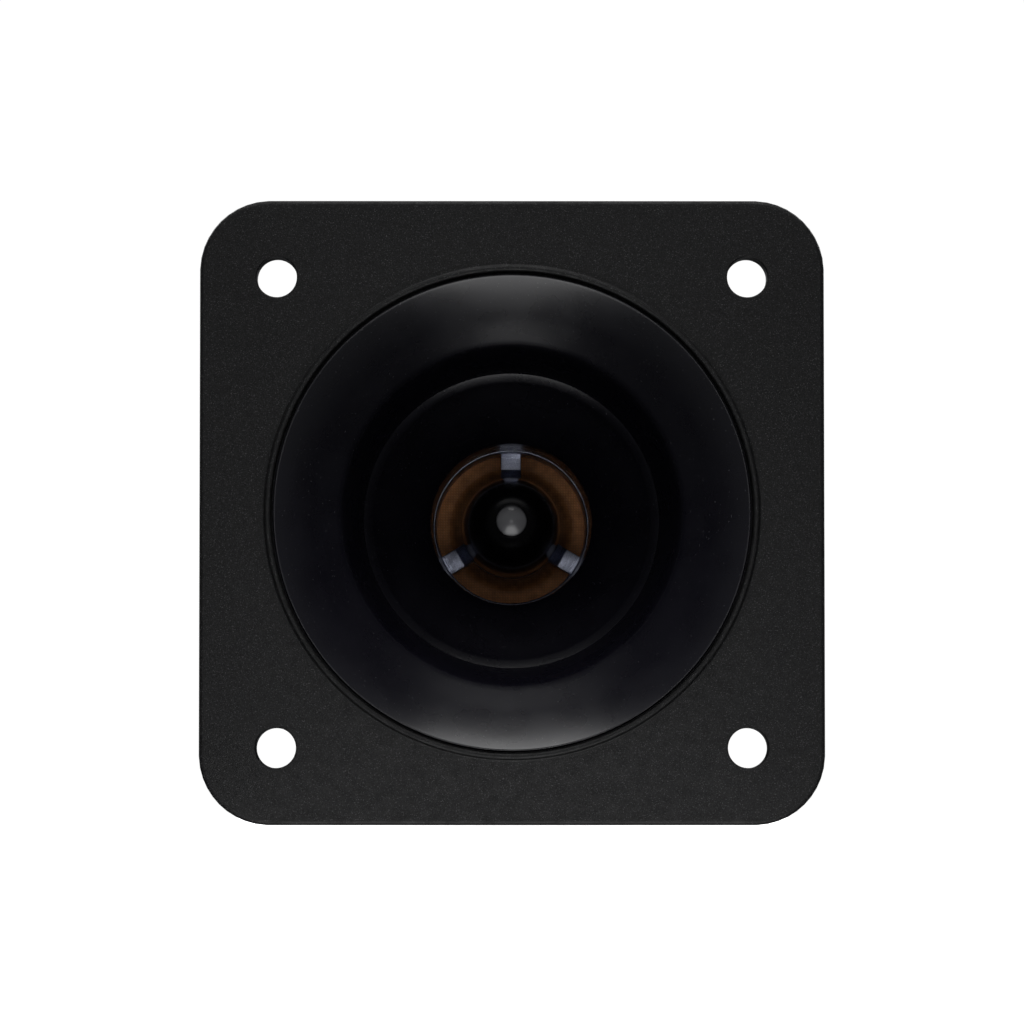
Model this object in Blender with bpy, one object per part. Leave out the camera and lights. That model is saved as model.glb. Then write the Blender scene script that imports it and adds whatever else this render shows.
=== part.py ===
"""Car horn tweeter: square flange, two-stage round horn, bullet on a three-spoke ring, ring
diaphragm with its coil, ferrite motor, and a block of two push terminals.

The horn's axis runs along Y and its mouth faces -Y. +Z is up. The origin is on the axis, in the
flange's rear face, which seats on a panel. A depth below is measured back from the flange's front.
"""

import math

import bmesh
import bpy
from mathutils import Matrix, Vector

MM = 0.001
GAP = 0.3 * MM  # clearance left between pieces that touch
BIG_STEPS = 48  # facets round a large turned piece
MOUTH_STEPS = 60
MIDDLE_STEPS = 36
SMALL_STEPS = 16

# Mounting flange
FLANGE_SIDE = 95 * MM
FLANGE_THICKNESS = 5 * MM
FLANGE_CORNER = 10.7 * MM
FLANGE_EDGE = 0.7 * MM
FIXING_PITCH = 71.6 * MM
FIXING_RADIUS = 3.05 * MM
MOUTH_RADIUS = 36.7 * MM
BEAD_WIDTH = 0.9 * MM
BEAD_HEIGHT = 1.0 * MM

# Horn
HORN_LIP_RADIUS = 36.3 * MM
COLLAR_RADIUS = 43 * MM
COLLAR_THICKNESS = 1.9 * MM
LEDGE_OUTER_RADIUS = 23.1 * MM
LEDGE_INNER_RADIUS = 22.0 * MM
LEDGE_DEPTH = 26 * MM
BOWL_MIDDLE = (30.5 * MM, 5.8 * MM)
BOWL_FOOT = (26.4 * MM, 10.1 * MM)
THROAT_RADIUS = 12.8 * MM
THROAT_DEPTH = 37.2 * MM
THROAT_REAR_RADIUS = 12.35 * MM
HORN_WALL = 2.5 * MM
NECK_RADIUS = 24.4 * MM
BASE_RADIUS = 38 * MM
BASE_FRONT = 50 * MM
BASE_REAR = 56 * MM
BOSS_RADIUS = 3.8 * MM
BOSS_FRONT = 45 * MM
PILOT_FRONT = 47 * MM
GUSSET_FRONT = 36 * MM
GUSSET_THICKNESS = 2 * MM
COLLAR_HOLE_FRONT = 2 * MM
COLLAR_SINK_FRONT = 3.75 * MM
COLLAR_SINK_HEIGHT = 2 * MM

# Throat ring with its spokes, and the bullet
SPIDER_RADIUS = 19.9 * MM
SPIDER_FRONT = 48.6 * MM
SPIDER_REAR = 55 * MM
SPIDER_BORE_FRONT = 12.5 * MM
SPIDER_BORE_REAR = 11.9 * MM
HUB_RADIUS = 7.9 * MM
SPOKE_WIDTH = 3.2 * MM
SPOKE_FACE_DEPTH = 51.2 * MM
SPOKE_FACE_INNER = 9.4 * MM
BULLET_TIP_DEPTH = 26 * MM
BULLET_TIP_RADIUS = 4.7 * MM
BULLET_RADIUS = 8.0 * MM
BULLET_REAR = 48.6 * MM
BULLET_HOLE_FRONT = 40.5 * MM

# Diaphragm and coil
DIAPHRAGM_INNER = 5.6 * MM
DIAPHRAGM_OUTER = 16.6 * MM
DIAPHRAGM_DEPTH = 56.6 * MM
DIAPHRAGM_FILM = 0.35 * MM
FORMER_RADIUS = 12.4 * MM
FORMER_WALL = 0.25 * MM
FORMER_REAR = 66 * MM
DIAPHRAGM_RISE = 0.65 * MM
WASHER_BORE = 2.6 * MM
WASHER_RADIUS = 7.6 * MM
WASHER_FRONT = 57.4 * MM
GASKET_BORE = 17.4 * MM
GASKET_RADIUS = 19.8 * MM
GASKET_THICKNESS = 0.8 * MM
COIL_FRONT = 59.6 * MM
COIL_REAR = 64.6 * MM
COIL_WALL = 0.35 * MM

# Diaphragm frame and motor
FRAME_BORE = 17.0 * MM
FRAME_THICKNESS = 3 * MM
GAP_BORE = 13.4 * MM
TOP_PLATE_THICKNESS = 4.5 * MM
MAGNET_RADIUS = 30 * MM
MAGNET_BORE = 17 * MM
MAGNET_THICKNESS = 10 * MM
BACK_PLATE_THICKNESS = 4.5 * MM
POLE_RADIUS = 12.0 * MM
POLE_NECK_RADIUS = 7.7 * MM

# Screws
BODY_SCREW_CIRCLE = 33.8 * MM
BODY_SCREW_RADIUS = 1.9 * MM
HORN_SCREW_CIRCLE = 40.2 * MM
HORN_SCREW_RADIUS = 1.15 * MM
BULLET_SCREW_RADIUS = 2.0 * MM
BODY_SCREW_FRONT = 48 * MM
BODY_SCREW_HEAD_RADIUS = 3.2 * MM
HORN_SCREW_FRONT = 1.6 * MM
HORN_SCREW_REAR = 4.9 * MM
HORN_SCREW_HEAD_RADIUS = 2.3 * MM
BULLET_SCREW_FRONT = 42 * MM
BULLET_SCREW_HEAD_RADIUS = 3.5 * MM
BULLET_SCREW_HEAD_HEIGHT = 3 * MM
TERMINAL_SCREW_RADIUS = 1.0 * MM
TERMINAL_SCREW_HEAD_RADIUS = 2.0 * MM
TERMINAL_SCREW_REAR = 54 * MM

# Push terminals, under the horn's neck
BLOCK_HALF_WIDTH = 13 * MM
BLOCK_FRONT = 38 * MM
BLOCK_REAR = BASE_FRONT - GAP
BLOCK_TOP = -24.8 * MM
BLOCK_BOTTOM = -36.6 * MM
COVER_THICKNESS = 1.3 * MM
TERMINAL_X = 6.8 * MM
BUTTON_HALF_WIDTH = 3.1 * MM
BUTTON_FRONT = 42.9 * MM
BUTTON_REAR = 47.3 * MM
BUTTON_TOP = -33.2 * MM
BUTTON_BOTTOM = -39.6 * MM
BUTTON_POCKET_TOP = -28.4 * MM
CONTACT_DEPTH = 41.2 * MM
CONTACT_THICKNESS = 0.4 * MM
CONTACT_HALF_WIDTH = 1.7 * MM
CONTACT_TOP = -26.9 * MM
LUG_X = 15.9 * MM
LUG_Z = -31.2 * MM
LUG_BORE = 1.3 * MM
LUG_THICKNESS = 2 * MM
LUG_HALF_HEIGHT = 2.4 * MM
LUG_HOLE_REAR = 54.5 * MM
SPRING_RADIUS = 1.6 * MM
SPRING_WIRE = 0.22 * MM
SPRING_TURNS = 4
LEAD_RADIUS = 0.6 * MM
LEAD_BEND = 1.3 * MM
LEAD_END = -21.6 * MM

FRAME_FRONT = BASE_REAR + GAP
TOP_PLATE_FRONT = FRAME_FRONT + FRAME_THICKNESS + GAP
MAGNET_FRONT = TOP_PLATE_FRONT + TOP_PLATE_THICKNESS + GAP
BACK_PLATE_FRONT = MAGNET_FRONT + MAGNET_THICKNESS + GAP
BACK_PLATE_REAR = BACK_PLATE_FRONT + BACK_PLATE_THICKNESS


def y_of(depth):
    """The Y coordinate of a depth behind the flange's front face."""
    return depth - FLANGE_THICKNESS


# ---------------------------------------------------------------- materials

def material(name, colour, roughness, metallic=0.0):
    made = bpy.data.materials.get(name)
    if made:
        return made
    made = bpy.data.materials.new(name)
    made.use_nodes = True
    shader = made.node_tree.nodes["Principled BSDF"]
    shader.inputs["Base Color"].default_value = (*colour, 1.0)
    shader.inputs["Roughness"].default_value = roughness
    shader.inputs["Metallic"].default_value = metallic
    return made


def powder_coat():
    return material("powder_coat", (0.013, 0.013, 0.013), 0.6)


def horn_plastic():
    return material("horn_plastic", (0.008, 0.008, 0.010), 0.38)


def bare_aluminium():
    return material("bare_aluminium", (0.75, 0.76, 0.78), 0.3, 1.0)


def gloss_black():
    return material("gloss_black", (0.004, 0.004, 0.005), 0.12)


def brown_phenolic():
    return material("brown_phenolic", (0.19, 0.09, 0.035), 0.55)


def former_film():
    return material("former_film", (0.45, 0.22, 0.06), 0.4)


def copper_winding():
    return material("copper_winding", (0.65, 0.28, 0.14), 0.35, 1.0)


def frame_plastic():
    return material("frame_plastic", (0.02, 0.02, 0.022), 0.5)


def gasket_foam():
    return material("gasket_foam", (0.03, 0.03, 0.03), 0.9)


def zinc_steel():
    return material("zinc_steel", (0.62, 0.62, 0.64), 0.35, 1.0)


def ferrite():
    return material("ferrite", (0.045, 0.045, 0.05), 0.7)


def black_steel():
    return material("black_steel", (0.02, 0.02, 0.022), 0.35, 0.6)


def red_plastic():
    return material("red_plastic", (0.55, 0.02, 0.02), 0.35)


def black_plastic():
    return material("black_plastic", (0.012, 0.012, 0.013), 0.4)


def brass():
    return material("brass", (0.75, 0.55, 0.25), 0.3, 1.0)


def spring_steel():
    return material("spring_steel", (0.55, 0.55, 0.56), 0.3, 1.0)


def red_insulation():
    return material("red_insulation", (0.45, 0.02, 0.02), 0.5)


def black_insulation():
    return material("black_insulation", (0.015, 0.015, 0.015), 0.5)


# ---------------------------------------------------------------- shape tools

def finish_mesh(name, shape, finish, smooth=True):
    """Turns a bmesh into an object with outward faces and one material."""
    bmesh.ops.recalc_face_normals(shape, faces=shape.faces)
    mesh = bpy.data.meshes.new(name)
    shape.to_mesh(mesh)
    shape.free()
    if smooth:
        mesh.shade_smooth()
        mesh.set_sharp_from_angle(angle=math.radians(35))
    made = bpy.data.objects.new(name, mesh)
    bpy.context.scene.collection.objects.link(made)
    if finish:
        mesh.materials.append(finish)
    return made


def turned(name, outline, finish, steps=BIG_STEPS):
    """Spins a closed (radius, depth) outline round the horn's axis."""
    shape = bmesh.new()
    corners = [shape.verts.new((radius, y_of(depth), 0)) for radius, depth in outline]
    edges = [
        shape.edges.new((corner, corners[(i + 1) % len(corners)]))
        for i, corner in enumerate(corners)
        if max(corner.co.x, corners[(i + 1) % len(corners)].co.x) > 0
    ]
    bmesh.ops.spin(
        shape,
        geom=corners + edges,
        cent=(0, 0, 0),
        axis=(0, 1, 0),
        angle=math.tau,
        steps=steps,
        use_merge=True,
    )
    bmesh.ops.remove_doubles(shape, verts=shape.verts, dist=1e-6)
    return finish_mesh(name, shape, finish)


def turned_at(name, outline, finish, x, z, steps=SMALL_STEPS):
    """A turned piece on its own axis, parallel to the horn's, at (x, z)."""
    made = turned(name, outline, finish, steps)
    made.location = (x, 0, z)
    return made


def box(name, low, high, finish=None):
    """A plain block between two corners given as (x, depth, z)."""
    shape = bmesh.new()
    bmesh.ops.create_cube(shape, size=1)
    low_corner = Vector((low[0], y_of(low[1]), low[2]))
    high_corner = Vector((high[0], y_of(high[1]), high[2]))
    size = high_corner - low_corner
    place = Matrix.Translation((low_corner + high_corner) / 2) @ Matrix.Diagonal((*size, 1))
    bmesh.ops.transform(shape, matrix=place, verts=shape.verts)
    return finish_mesh(name, shape, finish, smooth=False)


def rod(name, radius, front, rear, x=0.0, z=0.0, steps=SMALL_STEPS):
    """A cylinder along the horn's axis direction between two depths."""
    outline = [(0, front), (radius, front), (radius, rear), (0, rear)]
    return turned_at(name, outline, None, x, z, steps)


def combine(target, other, operation, solver="EXACT"):
    """Cuts the other object from the target, or joins it on, and hides it as a helper."""
    other.hide_render = True
    other.display_type = "WIRE"
    change = target.modifiers.new(other.name, "BOOLEAN")
    change.operation = operation
    change.object = other
    change.solver = solver


def cut(target, *cutters):
    for cutter in cutters:
        combine(target, cutter, "DIFFERENCE")


def join(target, *additions):
    for addition in additions:
        combine(target, addition, "UNION")


def soften(target, width, segments=2):
    """Rounds a piece's edges."""
    change = target.modifiers.new("edges", "BEVEL")
    change.width = width
    change.segments = segments
    change.limit_method = "ANGLE"


def arc(centre, radius, start_degrees, end_degrees, count):
    """Points on an arc in the (radius, depth) plane, both ends included."""
    points = []
    for i in range(count):
        angle = math.radians(start_degrees + (end_degrees - start_degrees) * i / (count - 1))
        points.append((centre[0] + radius * math.cos(angle), centre[1] + radius * math.sin(angle)))
    return points


def curve_points(start, start_pull, end_pull, end, count):
    """Points on a cubic curve from start to end, both included."""
    points = []
    for i in range(count):
        t = i / (count - 1)
        s = 1 - t
        weights = (s ** 3, 3 * s * s * t, 3 * s * t * t, t ** 3)
        pulls = (start, start_pull, end_pull, end)
        points.append(tuple(sum(w * p[k] for w, p in zip(weights, pulls)) for k in range(2)))
    return points


def tube(name, points, radius, finish, resolution=1):
    """A round wire along a list of (x, depth, z) points."""
    path = bpy.data.curves.new(name, "CURVE")
    path.dimensions = "3D"
    path.bevel_depth = radius
    path.bevel_resolution = resolution
    path.use_fill_caps = True
    spline = path.splines.new("POLY")
    spline.points.add(len(points) - 1)
    for point, (x, depth, z) in zip(spline.points, points):
        point.co = (x, y_of(depth), z, 1)
    made = bpy.data.objects.new(name, path)
    bpy.context.scene.collection.objects.link(made)
    path.materials.append(finish)
    return made


def quarter_places(circle, offset_degrees=0.0):
    """Four (x, z) places on a circle about the horn's axis, counted from the right."""
    angles = [math.radians(offset_degrees + 90 * i) for i in range(4)]
    return [(circle * math.cos(a), circle * math.sin(a)) for a in angles]


# ---------------------------------------------------------------- flange and horn

def rounded_square(half_side, corner, count=7):
    """The flange's outline in X and Z, anticlockwise."""
    centre = half_side - corner
    points = []
    for quarter in range(4):
        turn = 90 * quarter
        x_sign = (1, -1, -1, 1)[quarter]
        z_sign = (1, 1, -1, -1)[quarter]
        points += arc((x_sign * centre, z_sign * centre), corner, turn, turn + 90, count)
    return points


def mounting_flange():
    """Square plate with a bead round the mouth, four fixing holes, and a seat for the collar."""
    shape = bmesh.new()
    front = [
        shape.verts.new((x, y_of(0), z)) for x, z in rounded_square(FLANGE_SIDE / 2, FLANGE_CORNER)
    ]
    face = shape.faces.new(front)
    thickness = Vector((0, FLANGE_THICKNESS, 0))
    back = bmesh.ops.extrude_face_region(shape, geom=[face])["geom"]
    bmesh.ops.translate(
        shape, vec=thickness, verts=[v for v in back if isinstance(v, bmesh.types.BMVert)]
    )
    bmesh.ops.recalc_face_normals(shape, faces=shape.faces)
    front_edges = [e for e in shape.edges if all(abs(v.co.y - y_of(0)) < 1e-7 for v in e.verts)]
    bmesh.ops.bevel(
        shape, geom=front_edges, offset=FLANGE_EDGE, segments=2, profile=0.5, affect="EDGES"
    )
    flange = finish_mesh("mounting_flange", shape, powder_coat())
    half_pitch = FIXING_PITCH / 2
    for index, (x_sign, z_sign) in enumerate(((1, 1), (-1, 1), (-1, -1), (1, -1))):
        place = (x_sign * half_pitch, z_sign * half_pitch)
        cut(flange, rod(f"fixing_cutter_{index + 1}", FIXING_RADIUS, -2 * MM, 8 * MM, *place, 24))
    bead_outer = MOUTH_RADIUS + BEAD_WIDTH
    crown = arc(
        (MOUTH_RADIUS + BEAD_WIDTH / 2, -BEAD_HEIGHT + BEAD_WIDTH / 2), BEAD_WIDTH / 2, 0, -180, 5
    )
    # The bead's root reaches past the mouth's edge, and the mouth is then cut through both.
    root_radius = MOUTH_RADIUS - 0.5 * MM
    root_depth = 1 * MM
    bead_outline = [(bead_outer, root_depth), *crown[:-1], (root_radius, crown[-1][1])]
    bead_outline.append((root_radius, root_depth))
    join(flange, turned("bead", bead_outline, None, MOUTH_STEPS))
    mouth = rod("mouth_cutter", MOUTH_RADIUS, -3 * MM, 8 * MM, steps=MOUTH_STEPS)
    seat_depth = FLANGE_THICKNESS - COLLAR_THICKNESS - GAP
    seat = rod("collar_seat_cutter", COLLAR_RADIUS + GAP, seat_depth, 8 * MM, steps=BIG_STEPS)
    cut(flange, mouth, seat)
    tap_radius = HORN_SCREW_RADIUS + GAP
    for index, (x, z) in enumerate(quarter_places(HORN_SCREW_CIRCLE)):
        tap = rod(f"flange_tap_{index + 1}", tap_radius, 1.2 * MM, 8 * MM, x, z, 12)
        # The seat is one ring-shaped face, which only the MANIFOLD solver cuts cleanly.
        combine(flange, tap, "DIFFERENCE", "MANIFOLD")
    return flange


def horn_outline():
    """The horn's section, from the lip down its inside to the throat and back up its outside."""
    bowl = curve_points(
        (HORN_LIP_RADIUS - 0.25 * MM, 0.25 * MM),
        (34.15 * MM, 1.87 * MM),
        (31.84 * MM, 4.33 * MM),
        BOWL_MIDDLE,
        5,
    )
    bowl += curve_points(
        BOWL_FOOT,
        (25.75 * MM, 10.8 * MM),
        (24.3 * MM, 16.5 * MM),
        (LEDGE_OUTER_RADIUS, LEDGE_DEPTH),
        6,
    )
    cone = curve_points(
        (LEDGE_INNER_RADIUS, LEDGE_DEPTH + 0.7 * MM),
        (19.4 * MM, 30.2 * MM),
        (14.4 * MM, 34.4 * MM),
        (THROAT_RADIUS, THROAT_DEPTH),
        5,
    )
    recess_front = SPIDER_FRONT - GAP
    recess_radius = SPIDER_RADIUS + GAP
    throat = [
        (THROAT_REAR_RADIUS, recess_front),
        (recess_radius, recess_front),
        (recess_radius, BASE_REAR),
    ]
    outside = [
        (BASE_RADIUS, BASE_REAR),
        (BASE_RADIUS, BASE_FRONT),
        (NECK_RADIUS - 0.4 * MM, BASE_FRONT),
        (NECK_RADIUS, 34 * MM),
        (LEDGE_OUTER_RADIUS + HORN_WALL, LEDGE_DEPTH),
        (27.8 * MM, 17 * MM),
        (31.0 * MM, 10 * MM),
        (35.4 * MM, FLANGE_THICKNESS),
        (COLLAR_RADIUS, FLANGE_THICKNESS),
        (COLLAR_RADIUS, FLANGE_THICKNESS - COLLAR_THICKNESS),
        (HORN_LIP_RADIUS, FLANGE_THICKNESS - COLLAR_THICKNESS),
        (HORN_LIP_RADIUS, 0.25 * MM),
    ]
    return bowl + cone + throat + outside


def horn_flare():
    """Moulded horn with bosses for the body screws, gussets, and holes for screws and leads."""
    horn = turned("horn_flare", horn_outline(), horn_plastic())
    for index, (x, z) in enumerate(quarter_places(BODY_SCREW_CIRCLE, 45)):
        join(horn, rod(f"boss_{index + 1}", BOSS_RADIUS, BOSS_FRONT, BASE_FRONT + MM, x, z))
    for index in range(3):
        join(horn, gusset(index))
    for index, (x, z) in enumerate(quarter_places(BODY_SCREW_CIRCLE, 45)):
        pilot_radius = BODY_SCREW_RADIUS + GAP
        cut(horn, rod(f"boss_hole_{index + 1}", pilot_radius, PILOT_FRONT, BASE_REAR + MM, x, z))
    for index, (x, z) in enumerate(quarter_places(HORN_SCREW_CIRCLE)):
        hole_radius = HORN_SCREW_RADIUS + GAP
        sink_rear = COLLAR_SINK_FRONT + COLLAR_SINK_HEIGHT
        sink = [
            (0, COLLAR_HOLE_FRONT),
            (hole_radius, COLLAR_HOLE_FRONT),
            (hole_radius, COLLAR_SINK_FRONT),
            (hole_radius + COLLAR_SINK_HEIGHT, sink_rear),
            (0, sink_rear),
        ]
        cut(horn, turned_at(f"collar_hole_{index + 1}", sink, None, x, z))
    for side, name in ((-1, "left"), (1, "right")):
        front = BASE_FRONT - 2 * MM
        lug_hole = rod(f"lug_hole_{name}", LUG_BORE, front, LUG_HOLE_REAR, side * LUG_X, LUG_Z, 12)
        lead_bore = LEAD_RADIUS + 2 * GAP
        lead_x = side * TERMINAL_X
        lead_hole = rod(
            f"lead_hole_{name}", lead_bore, front, BASE_REAR + 2 * MM, lead_x, lead_height(), 12
        )
        cut(horn, lug_hole, lead_hole)
    return horn


def plate(name, section, width, turn_degrees):
    """A flat plate of a (radius, depth) section, turned from +Z about the horn's axis."""
    shape = bmesh.new()
    side = [shape.verts.new((-width / 2, y_of(depth), radius)) for radius, depth in section]
    face = shape.faces.new(side)
    moved = bmesh.ops.extrude_face_region(shape, geom=[face])["geom"]
    far_side = [v for v in moved if isinstance(v, bmesh.types.BMVert)]
    bmesh.ops.translate(shape, vec=(width, 0, 0), verts=far_side)
    turn = Matrix.Rotation(math.radians(turn_degrees), 4, "Y")
    bmesh.ops.transform(shape, matrix=turn, verts=shape.verts)
    return finish_mesh(name, shape, None, smooth=False)


def gusset(index):
    """A rib between the neck and the base, on the top and the two sides."""
    root = NECK_RADIUS - 2.6 * MM
    foot = BASE_FRONT + MM
    section = [(root, GUSSET_FRONT), (root, foot), (BASE_RADIUS - 2 * MM, foot)]
    return plate(f"gusset_{index + 1}", section, GUSSET_THICKNESS, 90 * (index - 1))


def lead_height():
    """The Z of the leads, in line with the contacts' rear tags."""
    return CONTACT_TOP - CONTACT_THICKNESS / 2


# ---------------------------------------------------------------- throat ring and bullet

def throat_spider():
    """Bare metal ring, hub and three spokes, whose flat outer faces look forward."""
    chamfer = 0.3 * MM
    ring_outline = [
        (SPIDER_BORE_FRONT, SPIDER_FRONT),
        (SPIDER_BORE_FRONT - chamfer, SPIDER_FRONT + chamfer),
        (SPIDER_BORE_REAR, SPIDER_REAR),
        (FRAME_BORE, SPIDER_REAR),
        (FRAME_BORE, BASE_REAR),
        (SPIDER_RADIUS, BASE_REAR),
        (SPIDER_RADIUS, SPIDER_FRONT),
    ]
    spider = turned("throat_spider", ring_outline, bare_aluminium())
    hub_front = BULLET_REAR + GAP
    hub_outline = [(0, hub_front), (HUB_RADIUS, hub_front), (HUB_RADIUS, BASE_REAR), (0, BASE_REAR)]
    join(spider, turned("spider_hub", hub_outline, None, MIDDLE_STEPS))
    for index in range(3):
        join(spider, spoke(index))
    cut(spider, rod("hub_bore", BULLET_SCREW_RADIUS + GAP, 45 * MM, 60 * MM))
    return spider


def spoke(index):
    """One spoke: a flat face outside, and a slope that rises forward to the hub inside."""
    inner = 5 * MM
    outer = 14 * MM
    hub_front = BULLET_REAR + GAP
    section = [
        (inner, hub_front + 0.2 * MM),
        (HUB_RADIUS - 0.1 * MM, hub_front + 0.2 * MM),
        (SPOKE_FACE_INNER, SPOKE_FACE_DEPTH),
        (outer, SPOKE_FACE_DEPTH),
        (outer, SPIDER_REAR - 0.4 * MM),
        (inner, SPIDER_REAR - 0.4 * MM),
    ]
    return plate(f"spoke_{index + 1}", section, SPOKE_WIDTH, 120 * index)


def bullet():
    """Pointed plug with a round nose and a blind hole for its screw."""
    nose_centre = (0, BULLET_TIP_DEPTH + BULLET_TIP_RADIUS)
    nose = arc(nose_centre, BULLET_TIP_RADIUS, -90, -58, 4)
    shoulder_depth = BULLET_REAR - 1.2 * MM
    side = curve_points(
        nose[-1],
        (3.9 * MM, 27.6 * MM),
        (BULLET_RADIUS, 38 * MM),
        (BULLET_RADIUS, shoulder_depth),
        9,
    )[1:]
    hole_radius = BULLET_SCREW_RADIUS + GAP
    hole = [
        (BULLET_RADIUS, BULLET_REAR),
        (hole_radius, BULLET_REAR),
        (hole_radius, BULLET_HOLE_FRONT + MM),
        (0, BULLET_HOLE_FRONT),
    ]
    return turned("bullet", nose + side + hole, gloss_black(), MIDDLE_STEPS)


def bullet_screw():
    """Socket-head screw from the pole's rear into the bullet."""
    head_rear = BACK_PLATE_REAR - GAP
    head_front = head_rear - BULLET_SCREW_HEAD_HEIGHT
    outline = [
        (0, BULLET_SCREW_FRONT),
        (BULLET_SCREW_RADIUS, BULLET_SCREW_FRONT + 0.4 * MM),
        (BULLET_SCREW_RADIUS, head_front),
        (BULLET_SCREW_HEAD_RADIUS, head_front),
        (BULLET_SCREW_HEAD_RADIUS, head_rear),
        (0, head_rear),
    ]
    screw = turned("bullet_screw", outline, zinc_steel(), SMALL_STEPS)
    socket_front = head_rear - 1.8 * MM
    cut(screw, rod("bullet_screw_socket", 1.75 * MM, socket_front, head_rear + MM, steps=6))
    return screw


# ---------------------------------------------------------------- diaphragm and coil

def film_outline(line, thickness):
    """A closed outline of even thickness in depth behind a line of (radius, depth) points."""
    return line + [(radius, depth + thickness) for radius, depth in reversed(line)]


def diaphragm():
    """Thin ring with a raised band between the hub and the coil, and a roll outside it."""
    flat = DIAPHRAGM_DEPTH
    raised = flat - DIAPHRAGM_RISE
    line = [
        (DIAPHRAGM_INNER, flat),
        (8.2 * MM, flat),
        (9.6 * MM, raised + 0.15 * MM),
        (10.2 * MM, raised),
        (12.2 * MM, raised),
        (12.9 * MM, raised + 0.2 * MM),
        (13.8 * MM, flat + 0.1 * MM),
        (14.8 * MM, flat - 0.2 * MM),
        (15.5 * MM, flat),
        (DIAPHRAGM_OUTER, flat),
    ]
    return turned("diaphragm", film_outline(line, DIAPHRAGM_FILM), brown_phenolic(), MIDDLE_STEPS)


def tube_outline(inner, outer, front, rear):
    return [(inner, front), (outer, front), (outer, rear), (inner, rear)]


def coil_former():
    front = DIAPHRAGM_DEPTH - DIAPHRAGM_RISE + DIAPHRAGM_FILM + GAP
    outer = FORMER_RADIUS + FORMER_WALL
    outline = tube_outline(FORMER_RADIUS, outer, front, FORMER_REAR)
    return turned("coil_former", outline, former_film())


def voice_coil():
    inner = FORMER_RADIUS + FORMER_WALL + 0.05 * MM
    outline = tube_outline(inner, inner + COIL_WALL, COIL_FRONT, COIL_REAR)
    return turned("voice_coil", outline, copper_winding())


def inner_clamp_ring():
    """Washer on the pole's face that holds the diaphragm's inner edge."""
    outline = tube_outline(WASHER_BORE, WASHER_RADIUS, WASHER_FRONT, TOP_PLATE_FRONT - GAP)
    return turned("inner_clamp_ring", outline, brass(), MIDDLE_STEPS)


# ---------------------------------------------------------------- frame and motor

def drill(target, prefix):
    """Four body-screw holes through a piece."""
    radius = BODY_SCREW_RADIUS + GAP
    for index, (x, z) in enumerate(quarter_places(BODY_SCREW_CIRCLE, 45)):
        cut(target, rod(f"{prefix}_hole_{index + 1}", radius, 54 * MM, 70 * MM, x, z))


def diaphragm_frame():
    """Plastic ring behind the horn's base, with a seat for the gasket and channels for leads."""
    seat_floor = FRAME_FRONT + 1.1 * MM
    outline = [
        (FRAME_BORE, seat_floor),
        (SPIDER_RADIUS + 0.2 * MM, seat_floor),
        (SPIDER_RADIUS + 0.2 * MM, FRAME_FRONT),
        (BASE_RADIUS, FRAME_FRONT),
        (BASE_RADIUS, FRAME_FRONT + FRAME_THICKNESS),
        (FRAME_BORE, FRAME_FRONT + FRAME_THICKNESS),
    ]
    frame = turned("diaphragm_frame", outline, frame_plastic())
    drill(frame, "frame")
    for side, name in ((-1, "left"), (1, "right")):
        middle = side * TERMINAL_X
        channel = box(
            f"lead_channel_{name}",
            (middle - LEAD_RADIUS - GAP, 54 * MM, lead_height() - 1.2 * MM),
            (middle + LEAD_RADIUS + GAP, FRAME_FRONT + 1.9 * MM, -21.2 * MM),
        )
        cut(frame, channel)
    return frame


def diaphragm_gasket():
    rear = FRAME_FRONT + GASKET_THICKNESS
    outline = tube_outline(GASKET_BORE, GASKET_RADIUS, FRAME_FRONT, rear)
    return turned("diaphragm_gasket", outline, gasket_foam())


def top_plate():
    rear = TOP_PLATE_FRONT + TOP_PLATE_THICKNESS
    outline = [
        (GAP_BORE, TOP_PLATE_FRONT),
        (BASE_RADIUS, TOP_PLATE_FRONT),
        (BASE_RADIUS, rear - 0.5 * MM),
        (BASE_RADIUS - 0.5 * MM, rear),
        (GAP_BORE, rear),
    ]
    steel = turned("top_plate", outline, black_steel())
    drill(steel, "plate")
    return steel


def magnet():
    rear = MAGNET_FRONT + MAGNET_THICKNESS
    chamfer = 0.7 * MM
    outline = [
        (MAGNET_BORE, MAGNET_FRONT),
        (MAGNET_RADIUS - chamfer, MAGNET_FRONT),
        (MAGNET_RADIUS, MAGNET_FRONT + chamfer),
        (MAGNET_RADIUS, rear - chamfer),
        (MAGNET_RADIUS - chamfer, rear),
        (MAGNET_BORE, rear),
    ]
    return turned("magnet", outline, ferrite())


def back_plate():
    chamfer = 0.8 * MM
    outline = [
        (POLE_NECK_RADIUS + GAP, BACK_PLATE_FRONT),
        (MAGNET_RADIUS, BACK_PLATE_FRONT),
        (MAGNET_RADIUS, BACK_PLATE_REAR - chamfer),
        (MAGNET_RADIUS - chamfer, BACK_PLATE_REAR),
        (POLE_NECK_RADIUS + GAP, BACK_PLATE_REAR),
    ]
    return turned("back_plate", outline, black_steel())


def pole_piece():
    """Steel core with a neck in the back plate and a stepped hole for the bullet's screw."""
    shoulder = BACK_PLATE_FRONT - GAP
    bore = BULLET_SCREW_RADIUS + GAP
    head_seat = BACK_PLATE_REAR - BULLET_SCREW_HEAD_HEIGHT - 2 * GAP
    outline = [
        (bore, TOP_PLATE_FRONT),
        (POLE_RADIUS, TOP_PLATE_FRONT),
        (POLE_RADIUS, shoulder),
        (POLE_NECK_RADIUS, shoulder),
        (POLE_NECK_RADIUS, BACK_PLATE_REAR),
        (4.0 * MM, BACK_PLATE_REAR),
        (4.0 * MM, head_seat),
        (bore, head_seat),
    ]
    return turned("pole_piece", outline, zinc_steel(), MIDDLE_STEPS)


# ---------------------------------------------------------------- screws

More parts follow.
